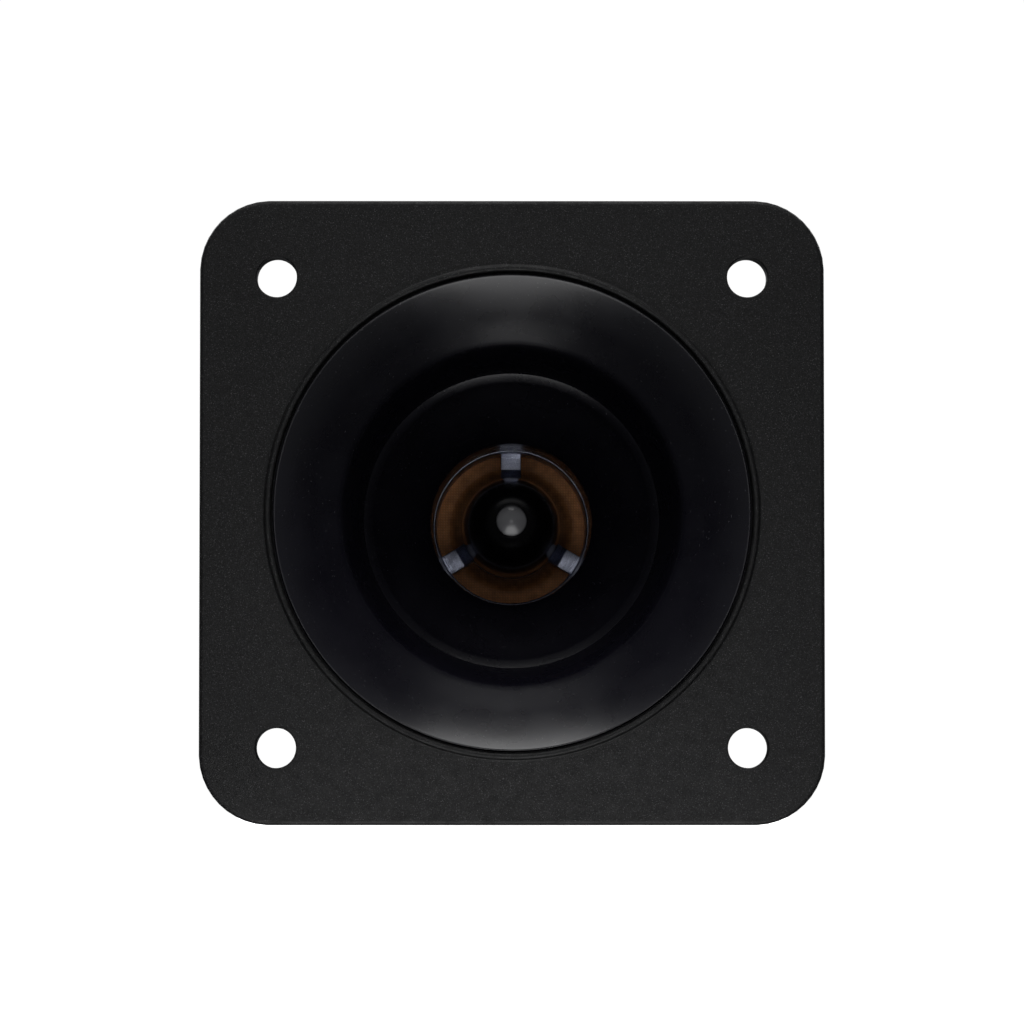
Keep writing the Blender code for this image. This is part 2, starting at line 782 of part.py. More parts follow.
def cross_slots(screw, x, z, face, size, depth):
    """Cuts a cross recess into a screw head whose outer face is at a depth."""
    width = size * 0.28
    reach = 1 * MM
    for index, (half_x, half_z) in enumerate(((size / 2, width / 2), (width / 2, size / 2))):
        front, rear = sorted((face + depth, face - math.copysign(reach, depth)))
        cut(
            screw,
            box(
                f"{screw.name}_slot_{index + 1}",
                (x - half_x, front, z - half_z),
                (x + half_x, rear, z + half_z),
            ),
        )


def body_screw(index, x, z):
    """Pan-head screw through the top plate and the frame into the horn's base."""
    head_front = TOP_PLATE_FRONT + TOP_PLATE_THICKNESS + GAP
    outline = [
        (0, BODY_SCREW_FRONT),
        (BODY_SCREW_RADIUS, BODY_SCREW_FRONT + 0.6 * MM),
        (BODY_SCREW_RADIUS, head_front),
        (BODY_SCREW_HEAD_RADIUS, head_front),
        (BODY_SCREW_HEAD_RADIUS, head_front + 1.4 * MM),
        (2.3 * MM, head_front + 2.3 * MM),
        (0, head_front + 2.4 * MM),
    ]
    screw = turned_at(f"body_screw_{index + 1}", outline, zinc_steel(), x, z, 12)
    cross_slots(screw, x, z, head_front + 2.4 * MM, 3.2 * MM, -1.2 * MM)
    return screw


def horn_screw(index, x, z):
    """Small countersunk screw through the collar into the flange."""
    outline = [
        (0, HORN_SCREW_FRONT),
        (HORN_SCREW_RADIUS, HORN_SCREW_FRONT + 0.4 * MM),
        (HORN_SCREW_RADIUS, HORN_SCREW_REAR - 1.2 * MM),
        (HORN_SCREW_HEAD_RADIUS, HORN_SCREW_REAR - 0.15 * MM),
        (HORN_SCREW_HEAD_RADIUS, HORN_SCREW_REAR),
        (0, HORN_SCREW_REAR),
    ]
    screw = turned_at(f"horn_screw_{index + 1}", outline, black_steel(), x, z, 12)
    cross_slots(screw, x, z, HORN_SCREW_REAR, 2.4 * MM, -0.8 * MM)
    return screw


# ---------------------------------------------------------------- push terminals

def terminal_block():
    """Housing with a button pocket and a wire pocket for each terminal, and two lugs."""
    block = box(
        "terminal_block",
        (-BLOCK_HALF_WIDTH, BLOCK_FRONT, BLOCK_BOTTOM),
        (BLOCK_HALF_WIDTH, BLOCK_REAR, BLOCK_TOP),
        black_plastic(),
    )
    for side, name in ((-1, "left"), (1, "right")):
        middle = side * TERMINAL_X
        lug_outer = side * (LUG_X + 2.5 * MM)
        lug_inner = side * (BLOCK_HALF_WIDTH - 1 * MM)
        lug = box(
            f"lug_{name}",
            (min(lug_inner, lug_outer), BLOCK_REAR - LUG_THICKNESS, LUG_Z - LUG_HALF_HEIGHT),
            (max(lug_inner, lug_outer), BLOCK_REAR, LUG_Z + LUG_HALF_HEIGHT),
        )
        join(block, lug)
        lug_bore = rod(f"lug_bore_{name}", LUG_BORE, 45 * MM, 52 * MM, side * LUG_X, LUG_Z, 12)
        button_pocket = box(
            f"button_pocket_{name}",
            (middle - BUTTON_HALF_WIDTH - GAP, BUTTON_FRONT - GAP, BLOCK_BOTTOM - 2 * MM),
            (middle + BUTTON_HALF_WIDTH + GAP, BUTTON_REAR + GAP, BUTTON_POCKET_TOP),
        )
        strip_rear = CONTACT_DEPTH + CONTACT_THICKNESS
        wire_pocket = box(
            f"wire_pocket_{name}",
            (middle - CONTACT_HALF_WIDTH - GAP, BLOCK_FRONT - 2 * MM, BLOCK_BOTTOM - 2 * MM),
            (middle + CONTACT_HALF_WIDTH + GAP, strip_rear + GAP, CONTACT_TOP + GAP),
        )
        tag_slot = box(
            f"tag_slot_{name}",
            (
                middle - CONTACT_HALF_WIDTH - GAP,
                strip_rear,
                CONTACT_TOP - CONTACT_THICKNESS - GAP,
            ),
            (middle + CONTACT_HALF_WIDTH + GAP, BLOCK_REAR + 2 * MM, CONTACT_TOP + GAP),
        )
        cut(block, lug_bore, button_pocket, wire_pocket, tag_slot)
    return block


def terminal_cover():
    """Lid on the block's front."""
    return box(
        "terminal_cover",
        (-BLOCK_HALF_WIDTH, BLOCK_FRONT - GAP - COVER_THICKNESS, BLOCK_BOTTOM),
        (BLOCK_HALF_WIDTH, BLOCK_FRONT - GAP, BLOCK_TOP),
        black_plastic(),
    )


def terminal_screw(name, x):
    """Screw through a lug of the terminal block into the horn's base."""
    head_rear = BLOCK_REAR - LUG_THICKNESS - GAP
    outline = [
        (0, head_rear - 1.4 * MM),
        (TERMINAL_SCREW_HEAD_RADIUS - 0.4 * MM, head_rear - 1.3 * MM),
        (TERMINAL_SCREW_HEAD_RADIUS, head_rear - 0.7 * MM),
        (TERMINAL_SCREW_HEAD_RADIUS, head_rear),
        (TERMINAL_SCREW_RADIUS, head_rear),
        (TERMINAL_SCREW_RADIUS, TERMINAL_SCREW_REAR - 0.4 * MM),
        (0, TERMINAL_SCREW_REAR),
    ]
    screw = turned_at(f"terminal_screw_{name}", outline, zinc_steel(), x, LUG_Z, 12)
    cross_slots(screw, x, LUG_Z, head_rear - 1.4 * MM, 2.2 * MM, 0.8 * MM)
    return screw


def button(name, x, finish):
    """Push button that travels up into its pocket. Its origin is on its line of travel."""
    made = box(
        name,
        (-BUTTON_HALF_WIDTH, BUTTON_FRONT, BUTTON_BOTTOM),
        (BUTTON_HALF_WIDTH, BUTTON_REAR, BUTTON_TOP),
        finish,
    )
    made.location = (x, 0, 0)
    soften(made, 0.5 * MM)
    return made


def button_spring(name, x):
    """Coil spring between the button and its pocket's end."""
    count = 8 * SPRING_TURNS
    low = BUTTON_TOP + GAP + SPRING_WIRE
    high = BUTTON_POCKET_TOP - GAP - SPRING_WIRE
    middle = (BUTTON_FRONT + BUTTON_REAR) / 2
    points = []
    for i in range(count + 1):
        angle = math.tau * SPRING_TURNS * i / count
        points.append(
            (
                x + SPRING_RADIUS * math.cos(angle),
                middle + SPRING_RADIUS * math.sin(angle),
                low + (high - low) * i / count,
            )
        )
    return tube(name, points, SPRING_WIRE, spring_steel(), 0)


def contact(name, x):
    """Bent strip: it grips the wire's end in front, and its tag runs back over the button."""
    strip = box(
        name,
        (x - CONTACT_HALF_WIDTH, CONTACT_DEPTH, -34.6 * MM),
        (x + CONTACT_HALF_WIDTH, CONTACT_DEPTH + CONTACT_THICKNESS, CONTACT_TOP),
        brass(),
    )
    tag = box(
        f"{name}_tag",
        (
            x - CONTACT_HALF_WIDTH + 0.2 * MM,
            CONTACT_DEPTH + CONTACT_THICKNESS / 2,
            CONTACT_TOP - CONTACT_THICKNESS,
        ),
        (x + CONTACT_HALF_WIDTH - 0.2 * MM, BLOCK_REAR - GAP, CONTACT_TOP - 0.02 * MM),
    )
    join(strip, tag)
    return strip


def lead(name, x, finish):
    """Wire from a contact's tag through the horn's base to the diaphragm's edge."""
    height = lead_height()
    floor = FRAME_FRONT + 0.95 * MM
    corner = [
        (x, floor - LEAD_BEND + LEAD_BEND * math.sin(a), height + LEAD_BEND - LEAD_BEND * math.cos(a))
        for a in [math.radians(22.5 * i) for i in range(5)]
    ]
    points = [(x, BLOCK_REAR, height), *corner, (x, floor, LEAD_END)]
    return tube(name, points, LEAD_RADIUS, finish)


# ---------------------------------------------------------------- assembly

def joint_empty(name, place):
    empty = bpy.data.objects.new(name, None)
    empty.location = place
    bpy.context.scene.collection.objects.link(empty)
    return empty


def main():
    for leftover in list(bpy.data.objects):
        bpy.data.objects.remove(leftover)
    mounting_flange()
    horn_flare()
    throat_spider()
    bullet()
    bullet_screw()
    diaphragm_slide = joint_empty("diaphragm_slide", (0, 0, 0))
    for moving in (diaphragm(), coil_former(), voice_coil()):
        moving.parent = diaphragm_slide
    inner_clamp_ring()
    diaphragm_frame()
    diaphragm_gasket()
    top_plate()
    magnet()
    back_plate()
    pole_piece()
    for index, (x, z) in enumerate(quarter_places(BODY_SCREW_CIRCLE, 45)):
        body_screw(index, x, z)
    for index, (x, z) in enumerate(quarter_places(HORN_SCREW_CIRCLE)):
        horn_screw(index, x, z)
    terminal_block()
    terminal_cover()
    terminal_screw("left", -LUG_X)
    terminal_screw("right", LUG_X)
    button("red_button", TERMINAL_X, red_plastic())
    button("black_button", -TERMINAL_X, black_plastic())
    button_spring("red_button_spring", TERMINAL_X)
    button_spring("black_button_spring", -TERMINAL_X)
    contact("red_contact", TERMINAL_X)
    contact("black_contact", -TERMINAL_X)
    lead("red_lead", TERMINAL_X, red_insulation())
    lead("black_lead", -TERMINAL_X, black_insulation())


main()
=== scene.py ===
# %% [markdown]
# # A car horn tweeter, piece by piece
# The object is a small horn loudspeaker for a car door: a square black flange, a round horn in two
# stages, a glossy bullet held by a bare metal ring with three spokes, a brown ring diaphragm, and a
# ferrite motor with push terminals behind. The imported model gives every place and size. This script
# makes the finished surface of each piece around it and lets each piece ride on its body.

import math

import bmesh
import bpy
from mathutils import Matrix, Vector


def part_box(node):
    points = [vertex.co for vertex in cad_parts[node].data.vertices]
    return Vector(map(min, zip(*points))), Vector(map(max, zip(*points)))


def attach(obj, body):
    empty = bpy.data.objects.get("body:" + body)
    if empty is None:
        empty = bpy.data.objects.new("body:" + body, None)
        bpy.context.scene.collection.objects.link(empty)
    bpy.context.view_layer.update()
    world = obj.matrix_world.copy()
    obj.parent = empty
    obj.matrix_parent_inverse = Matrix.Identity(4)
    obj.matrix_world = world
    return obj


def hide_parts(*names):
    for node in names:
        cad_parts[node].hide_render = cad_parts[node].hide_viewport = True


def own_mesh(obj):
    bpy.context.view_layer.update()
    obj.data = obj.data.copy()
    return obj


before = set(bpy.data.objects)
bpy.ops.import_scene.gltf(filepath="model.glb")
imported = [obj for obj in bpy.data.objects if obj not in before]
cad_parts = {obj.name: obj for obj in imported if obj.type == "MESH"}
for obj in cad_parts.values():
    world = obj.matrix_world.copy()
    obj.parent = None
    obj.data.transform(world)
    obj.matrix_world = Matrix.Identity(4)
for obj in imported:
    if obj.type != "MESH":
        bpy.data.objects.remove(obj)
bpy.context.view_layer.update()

# %% [markdown]
# ## Units and the horn's own coordinates
# The horn's axis runs along Y. A tweeter is dimensioned from the front of its flange, so sizes here
# are a radius and a depth behind that face. The flange is 5 mm thick and the origin lies in its rear
# face, so a depth turns into a Y by taking 5 mm away.

# %% Units
MM = 0.001
FLANGE_THICKNESS = 5 * MM
FLOOR_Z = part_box("mounting_flange")[0][2]


def y_of(depth):
    """The Y coordinate of a depth behind the flange's front face."""
    return depth - FLANGE_THICKNESS


print("the flange stands on z =", round(FLOOR_Z, 4))

# %% [markdown]
# ## Camera
# A product picture of a flat-faced part is taken square on from nearly a metre away with a long lens,
# which keeps the flange's sides parallel. The lens stands a little low and left of the horn's axis,
# so that the deep rings of the horn look slightly shifted against its mouth.

# %% Camera
camera_data = bpy.data.cameras.new("camera")
camera = bpy.data.objects.new("camera", camera_data)
bpy.context.scene.collection.objects.link(camera)
camera.location = (-0.0028, -0.873, -0.0455)
flange_front = Vector((0, y_of(0), 0))
camera.rotation_mode = "QUATERNION"
camera.rotation_quaternion = (flange_front - camera.location).to_track_quat("-Z", "Y")
camera_data.sensor_width = 36
camera_data.lens = 201.2
camera_data.clip_start = 0.02
camera_data.clip_end = 30
bpy.context.scene.camera = camera
print("camera distance, m:", round((flange_front - camera.location).length, 3))

# %% [markdown]
# ## A helper for nodes
# Finishes and geometry trees are both made of nodes. One helper adds a node, sets its options, and
# either links each input to another node's output or sets it to a value.

# %% Node helper
def add_node(tree, kind, inputs=None, **options):
    """Adds a node. An input given a socket is linked to it, any other value is set."""
    made = tree.nodes.new(kind)
    for option, value in options.items():
        setattr(made, option, value)
    for key, value in (inputs or {}).items():
        if isinstance(value, bpy.types.NodeSocket):
            tree.links.new(value, made.inputs[key])
        else:
            made.inputs[key].default_value = value
    return made


# %% [markdown]
# ## Floor, surroundings and light
# The part stands on a pale floor in a white room. A black glossy object shows its shape only by what
# it mirrors, so each lamp has one job. A softbox above is mirrored in the bowl's lower wall, and one
# below, in place of light thrown back by the floor, in its upper wall. A wide dim lamp in front
# lights the flange, a small one near the lens reaches down the throat, and two light the back. The
# floor stays out of the reflections, or its white would lift every black surface.

# %% Floor
def floor_finish():
    made = bpy.data.materials.new("pale_floor")
    made.use_nodes = True
    shader = made.node_tree.nodes["Principled BSDF"]
    shader.inputs["Base Color"].default_value = (0.85, 0.85, 0.85, 1)
    shader.inputs["Roughness"].default_value = 0.9
    shader.inputs["Specular IOR Level"].default_value = 0.0
    shader.inputs["Emission Color"].default_value = (1, 1, 1, 1)
    shader.inputs["Emission Strength"].default_value = 1.0
    return made


def make_floor():
    reach = 6.0
    sheet = bpy.data.meshes.new("floor")
    below = FLOOR_Z - 0.0001
    signs = ((-1, -1), (1, -1), (1, 1), (-1, 1))
    corners = [(reach * x, reach * y, below) for x, y in signs]
    sheet.from_pydata(corners, [], [(0, 1, 2, 3)])
    sheet.materials.append(floor_finish())
    made = bpy.data.objects.new("floor", sheet)
    bpy.context.scene.collection.objects.link(made)
    made.visible_diffuse = False
    made.visible_glossy = False


make_floor()


# %% Surroundings
ROOM_SEEN = 1.02  # how bright the room looks to the camera
ROOM_CAST = 0.15  # how much light it casts
TOP_WATTS = 0.80
BELOW_WATTS = 0.60
FRONT_WATTS = 1.1
LENS_WATTS = 0.16
REAR_WATTS = 6


def make_world():
    """White behind the object for the camera, dim for the light that falls on it."""
    world = bpy.data.worlds.new("white_room")
    world.use_nodes = True
    tree = world.node_tree
    tree.nodes.clear()
    seen = add_node(tree, "ShaderNodeBackground", {"Color": (1, 1, 1, 1), "Strength": ROOM_SEEN})
    inputs = {"Color": (0.95, 0.97, 1, 1), "Strength": ROOM_CAST}
    cast = add_node(tree, "ShaderNodeBackground", inputs)
    ray = add_node(tree, "ShaderNodeLightPath")
    inputs = {0: ray.outputs["Is Camera Ray"], 1: cast.outputs[0], 2: seen.outputs[0]}
    both = add_node(tree, "ShaderNodeMixShader", inputs)
    add_node(tree, "ShaderNodeOutputWorld", {"Surface": both.outputs[0]})
    bpy.context.scene.world = world
    bpy.context.scene.view_settings.view_transform = "Standard"


def softbox(name, place, size, power, shape="RECTANGLE"):
    """An area lamp that looks at the flange's front. size is its width and height in metres."""
    lamp = bpy.data.lights.new(name, "AREA")
    lamp.shape = shape
    lamp.size, lamp.size_y = size
    lamp.energy = power
    made = bpy.data.objects.new(name, lamp)
    bpy.context.scene.collection.objects.link(made)
    made.location = place
    made.rotation_mode = "QUATERNION"
    made.rotation_quaternion = (flange_front - made.location).to_track_quat("-Z", "Y")


make_world()
softbox("top_softbox", (0, -0.12, 0.35), (0.28, 0.30), TOP_WATTS, "ELLIPSE")
softbox("floor_bounce", (0, -0.17, FLOOR_Z - 0.15), (0.24, 0.34), BELOW_WATTS, "ELLIPSE")
softbox("front_softbox", (0, -1.3, 0.15), (2.0, 1.6), FRONT_WATTS)
softbox("nose_lamp", (0.004, -1.0, 0.02), (0.10, 0.10), LENS_WATTS)
for side in (-1, 1):
    softbox(f"rear_softbox_{side + 2}", (0.5 * side, 0.7, 0.5), (0.5, 0.5), REAR_WATTS)

# %% [markdown]
# ## Finishes
# Nearly every surface here is black, so the finishes differ by gloss and grain instead of colour:
# matte powder coat with a light speckle, satin moulded plastic, mirror-like plastic, and bare turned
# metal. Every pattern is laid out on the object's own coordinates in real sizes, so a grain of
# 0.25 mm stays 0.25 mm from any side. Values that are even over a surface are set straight on the
# shader; only what varies goes through pattern nodes.

# %% Tools for finishes
def new_finish(name, roughness, metallic=0.0, **fixed):
    """A material with its even values set. Returns its tree and its shader."""
    made = bpy.data.materials.new(name)
    made.use_nodes = True
    shader = made.node_tree.nodes["Principled BSDF"]
    shader.inputs["Roughness"].default_value = roughness
    shader.inputs["Metallic"].default_value = metallic
    for socket, value in fixed.items():
        shader.inputs[socket.replace("_", " ")].default_value = value
    FINISHES[name] = made
    return made.node_tree, shader


FINISHES = {}


def place_on(tree, stretch=(1, 1, 1)):
    """Object coordinates, squeezed or drawn out along each axis."""
    where = add_node(tree, "ShaderNodeTexCoord").outputs["Object"]
    return add_node(tree, "ShaderNodeMapping", {"Vector": where, "Scale": stretch}).outputs[0]


def grain(tree, size, detail=2.0, stretch=(1, 1, 1)):
    """Cloudy noise whose spots are about one size apart."""
    where = place_on(tree, stretch)
    inputs = {"Vector": where, "Scale": 1 / size, "Detail": detail}
    return add_node(tree, "ShaderNodeTexNoise", inputs).outputs[0]


def distance_from_axis(tree):
    """Distance of a point from the horn's axis, in metres."""
    where = place_on(tree, (1, 0, 1))
    return add_node(tree, "ShaderNodeVectorMath", {0: where}, operation="LENGTH").outputs["Value"]


def lathe_marks(tree, pitch):
    """Fine rings round the axis, as a turning tool leaves them."""
    inputs = {0: distance_from_axis(tree), 1: 1 / pitch}
    turns = add_node(tree, "ShaderNodeMath", inputs, operation="MULTIPLY").outputs[0]
    inputs = {"W": turns, "Scale": 1.0, "Detail": 3.0}
    return add_node(tree, "ShaderNodeTexNoise", inputs, noise_dimensions="1D").outputs[0]


def ramp(tree, factor, *stops):
    """Colours that run from the first (position, colour) stop to the second."""
    made = add_node(tree, "ShaderNodeValToRGB", {0: factor})
    for stop, (position, colour) in zip(made.color_ramp.elements, stops):
        stop.position = position
        stop.color = (*colour, 1)
    return made.outputs[0]


def spread(tree, factor, low, high, start=0.3, end=0.7):
    """Turns a pattern into values between low and high."""
    inputs = {0: factor, 1: start, 2: end, 3: low, 4: high}
    return add_node(tree, "ShaderNodeMapRange", inputs).outputs[0]


def blend_colours(tree, factor, first, second, how="MIX"):
    made = add_node(tree, "ShaderNodeMix", data_type="RGBA", blend_type=how)
    for index, value in ((0, factor), (6, first), (7, second)):
        if isinstance(value, bpy.types.NodeSocket):
            tree.links.new(value, made.inputs[index])
        else:
            made.inputs[index].default_value = (*value, 1) if index else value
    return made.outputs[2]


def add_bump(tree, shader, *layers):
    """Stacks (height pattern, depth in metres) layers of fine relief."""
    below = None
    for height, depth in layers:
        inputs = {"Height": height, "Distance": depth, "Strength": 1.0}
        if below:
            inputs["Normal"] = below
        below = add_node(tree, "ShaderNodeBump", inputs).outputs[0]
    tree.links.new(below, shader.inputs["Normal"])


def colour_to(tree, shader, colour):
    tree.links.new(colour, shader.inputs["Base Color"])


def roughness_to(tree, shader, value):
    tree.links.new(value, shader.inputs["Roughness"])


# %% [markdown]
# ## The flange's powder coat
# Powder coat on a stamped or cast plate is matte with a fine orange-peel grit. Where single grains
# catch the light, pale specks are painted into the colour as painted highlights. Two noises do it: a
# fine one for the grit and a thresholded one for the painted specks. A third, broader one makes the
# gloss a little uneven.

# %% Powder coat
def powder_coat():
    tree, shader = new_finish("powder_coat", 0.55, Specular_IOR_Level=0.25)
    grit = grain(tree, 0.22 * MM, 3.0)
    coarse = grain(tree, 1.6 * MM, 2.0)
    specks = grain(tree, 0.16 * MM, 1.0)
    coat = ramp(tree, grit, (0.34, (0.001, 0.001, 0.0012)), (0.70, (0.010, 0.010, 0.0104)))
    # Painted highlights: pale specks in the colour where single grains catch the light.
    painted_glints = spread(tree, specks, 0.0, 0.8, 0.63, 0.74)
    colour_to(tree, shader, blend_colours(tree, painted_glints, coat, (0.075, 0.075, 0.077)))
    roughness_to(tree, shader, spread(tree, coarse, 0.48, 0.66))
    add_bump(tree, shader, (coarse, 0.02 * MM), (grit, 0.035 * MM))


powder_coat()


# %% [markdown]
# ## The horn's satin plastic
# The horn is moulded in black plastic with a fine satin mould surface and a cold, slightly blue
# sheen. A little dust lies deep inside it, as single pale specks. The bullet is the same plastic
# polished; a pale disc on its very tip is a painted reflection of the bright room, and is rougher.

# %% Satin plastic and polished plastic
def horn_plastic():
    tree, shader = new_finish("horn_plastic", 0.28, Specular_IOR_Level=0.5)
    fine = grain(tree, 0.12 * MM, 2.0)
    cloud = grain(tree, 7 * MM, 3.0)
    dust = grain(tree, 0.3 * MM, 0.0)
    base = ramp(tree, cloud, (0.3, (0.0050, 0.0046, 0.0088)), (0.7, (0.0072, 0.0067, 0.0118)))
    speck = spread(tree, dust, 0.0, 0.5, 0.80, 0.84)
    colour_to(tree, shader, blend_colours(tree, speck, base, (0.10, 0.10, 0.11)))
    roughness_to(tree, shader, spread(tree, cloud, 0.25, 0.31))
    add_bump(tree, shader, (cloud, 0.01 * MM), (fine, 0.004 * MM))


def gloss_black():
    tree, shader = new_finish("gloss_black", 0.1, Specular_IOR_Level=0.5)
    ripple = grain(tree, 3 * MM, 2.0)
    dust = grain(tree, 0.2 * MM, 0.0)
    speck = spread(tree, dust, 0.0, 0.35, 0.82, 0.86)
    base = ramp(tree, ripple, (0.3, (0.0035, 0.0035, 0.0042)), (0.7, (0.005, 0.005, 0.0058)))
    dusty = blend_colours(tree, speck, base, (0.12, 0.12, 0.125))
    # Painted reflection: a pale disc on the tip stands in for the bright room mirrored in the nose;
    # the same mask makes the tip rougher.
    painted_tip_reflection = spread(tree, distance_from_axis(tree), 1.0, 0.0, 2.15 * MM, 2.45 * MM)
    colour_to(tree, shader, blend_colours(tree, painted_tip_reflection, dusty, (0.085, 0.085, 0.090)))
    gloss = spread(tree, grain(tree, 0.6 * MM, 3.0), 0.10, 0.17)
    inputs = {0: painted_tip_reflection, 1: 0.10, 2: gloss}
    worn = add_node(tree, "ShaderNodeMath", inputs, operation="MULTIPLY_ADD").outputs[0]
    roughness_to(tree, shader, worn)
    add_bump(tree, shader, (ripple, 0.004 * MM))


horn_plastic()
gloss_black()


# %% [markdown]
# ## Bare and plated metal
# Turned metal shows fine rings round its axis, and plating adds a cloudy, slightly warm or blue cast.
# One recipe covers them: rings or a grain in the relief, and a broader cloud in colour and roughness.

# %% Metals
def metal(name, dark, light, roughness, marks=None, relief=0.006):
    """Bare or plated metal. marks is the pitch of its turning rings in mm."""
    tree, shader = new_finish(name, roughness, 1.0)
    cloud = grain(tree, 2.5 * MM, 4.0)
    fine = grain(tree, 0.2 * MM, 3.0)
    lines = lathe_marks(tree, marks * MM) if marks else fine
    tint = ramp(tree, cloud, (0.3, dark), (0.7, light))
    worn = spread(tree, fine, 0.55, 1.0)
    shade = add_node(tree, "ShaderNodeCombineColor", {0: worn, 1: worn, 2: worn}).outputs[0]
    colour_to(tree, shader, blend_colours(tree, 1.0, tint, shade, "MULTIPLY"))
    roughness_to(tree, shader, spread(tree, lines, roughness - 0.08, roughness + 0.12))
    add_bump(tree, shader, (fine, 0.5 * relief * MM), (lines, relief * MM))


metal("bare_aluminium", (0.34, 0.36, 0.46), (0.52, 0.55, 0.68), 0.34, marks=0.16, relief=0.01)
metal("zinc_steel", (0.50, 0.51, 0.55), (0.66, 0.65, 0.60), 0.34)
metal("pole_steel", (0.42, 0.42, 0.43), (0.60, 0.60, 0.61), 0.30, marks=0.25)
metal("black_steel", (0.020, 0.020, 0.023), (0.045, 0.045, 0.050), 0.38, marks=0.5, relief=0.012)
metal("brass", (0.58, 0.40, 0.16), (0.80, 0.60, 0.28), 0.28)
metal("spring_steel", (0.40, 0.40, 0.42), (0.62, 0.62, 0.63), 0.26)
metal("copper_winding", (0.48, 0.16, 0.06), (0.72, 0.30, 0.13), 0.25)


# %% [markdown]
# ## Moulded plastic, rubber and foam
# The terminal block, the buttons, the diaphragm's frame, the wires' covers and the gasket are all
# moulded or foamed. The same recipe with another grain size, depth and gloss gives each of them.

# %% Moulded finishes
def moulded(name, dark, light, roughness, grain_size, relief, wear=0.08):
    tree, shader = new_finish(name, roughness)
    fine = grain(tree, grain_size * MM, 3.0)
    cloud = grain(tree, 4 * MM, 3.0)
    colour_to(tree, shader, ramp(tree, cloud, (0.3, dark), (0.7, light)))
    roughness_to(tree, shader, spread(tree, fine, roughness - wear, roughness + wear))
    add_bump(tree, shader, (fine, relief * MM))


moulded("frame_plastic", (0.014, 0.014, 0.016), (0.024, 0.024, 0.027), 0.48, 0.15, 0.012)
moulded("black_plastic", (0.009, 0.009, 0.010), (0.016, 0.016, 0.018), 0.40, 0.12, 0.010)
moulded("red_plastic", (0.36, 0.008, 0.010), (0.52, 0.018, 0.016), 0.30, 0.25, 0.006)
moulded("red_insulation", (0.34, 0.012, 0.012), (0.50, 0.025, 0.020), 0.46, 0.30, 0.010)
moulded("black_insulation", (0.010, 0.010, 0.011), (0.020, 0.020, 0.021), 0.46, 0.30, 0.010)
moulded("gasket_foam", (0.018, 0.018, 0.019), (0.040, 0.040, 0.042), 0.92, 0.20, 0.060, 0.05)
moulded("former_film", (0.36, 0.16, 0.035), (0.50, 0.25, 0.070), 0.34, 0.40, 0.004)


# %% [markdown]
# ## Ferrite and the woven diaphragm
# Ferrite is a pressed and fired grey-black ceramic with ground flat faces, fine pits and a few chips.
# The diaphragm is cloth soaked in brown resin and pressed hot: its weave stays faintly visible. The
# groove near the hub is painted darker as painted shade from the bullet, and the raised outer band
# is painted lighter than the resin's own brown as painted light.

# %% Ferrite
def ferrite():
    tree, shader = new_finish("ferrite", 0.62)
    grind = grain(tree, 0.35 * MM, 3.0, (1, 1, 0.12))
    pits = grain(tree, 0.30 * MM, 1.0)
    body = ramp(tree, grind, (0.3, (0.028, 0.028, 0.031)), (0.7, (0.055, 0.055, 0.060)))
    colour_to(tree, shader, body)
    roughness_to(tree, shader, spread(tree, grind, 0.5, 0.75))
    holes = spread(tree, pits, 0.0, 1.0, 0.22, 0.32)
    add_bump(tree, shader, (grind, 0.015 * MM), (holes, 0.05 * MM))


# %% Brown phenolic cloth
def thread_lines(tree, pitch, direction):
    """One set of threads across the cloth."""
    where = place_on(tree)
    inputs = {"Vector": where, "Scale": 0.314 / pitch, "Distortion": 0.4, "Detail": 1.0}
    kinds = {"wave_type": "BANDS", "bands_direction": direction, "wave_profile": "SIN"}
    return add_node(tree, "ShaderNodeTexWave", inputs, **kinds).outputs["Fac"]


def brown_phenolic():
    tree, shader = new_finish("brown_phenolic", 0.5, Specular_IOR_Level=0.2)
    warp = thread_lines(tree, 0.42 * MM, "X")
    weft = thread_lines(tree, 0.42 * MM, "Z")
    weave = add_node(tree, "ShaderNodeMath", {0: warp, 1: weft}, operation="MULTIPLY").outputs[0]
    radius = distance_from_axis(tree)
    # Painted shade and light: darker brown in the groove near the hub where the bullet shades it, and
    # a lighter brown than the resin's own on the outer band.
    painted_shade_band = spread(tree, radius, 0.0, 1.0, 9.0 * MM, 10.6 * MM)
    resin_with_painted_light_and_shade = ramp(tree, painted_shade_band, (0.0, (0.20, 0.085, 0.030)), (1.0, (0.52, 0.215, 0.075)))
    cloud = spread(tree, grain(tree, 1.2 * MM, 4.0), 0.70, 1.15)
    threads = spread(tree, weave, 0.82, 1.12, 0.0, 0.8)
    both = add_node(tree, "ShaderNodeMath", {0: cloud, 1: threads}, operation="MULTIPLY").outputs[0]
    shade = add_node(tree, "ShaderNodeCombineColor", {0: both, 1: both, 2: both}).outputs[0]
    colour_to(tree, shader, blend_colours(tree, 1.0, resin_with_painted_light_and_shade, shade, "MULTIPLY"))
    roughness_to(tree, shader, spread(tree, weave, 0.42, 0.58, 0.0, 1.0))
    add_bump(tree, shader, (weave, 0.03 * MM))


ferrite()
brown_phenolic()
print(len(FINISHES), "finishes:", ", ".join(FINISHES))

# %% [markdown]
# ## The lathe
# Most of the tweeter is turned or moulded round one axis, so the main tool is a lathe made of
# Geometry Nodes: it takes a flat profile of radius and depth, turns it into a curve, and carries it
# round a circle. A Screw modifier could do the same, but the node tree keeps the circle's steps and
# the finish as named inputs. The result is turned into a plain mesh, its seam and poles are merged,
# and its faces are made to look outward.

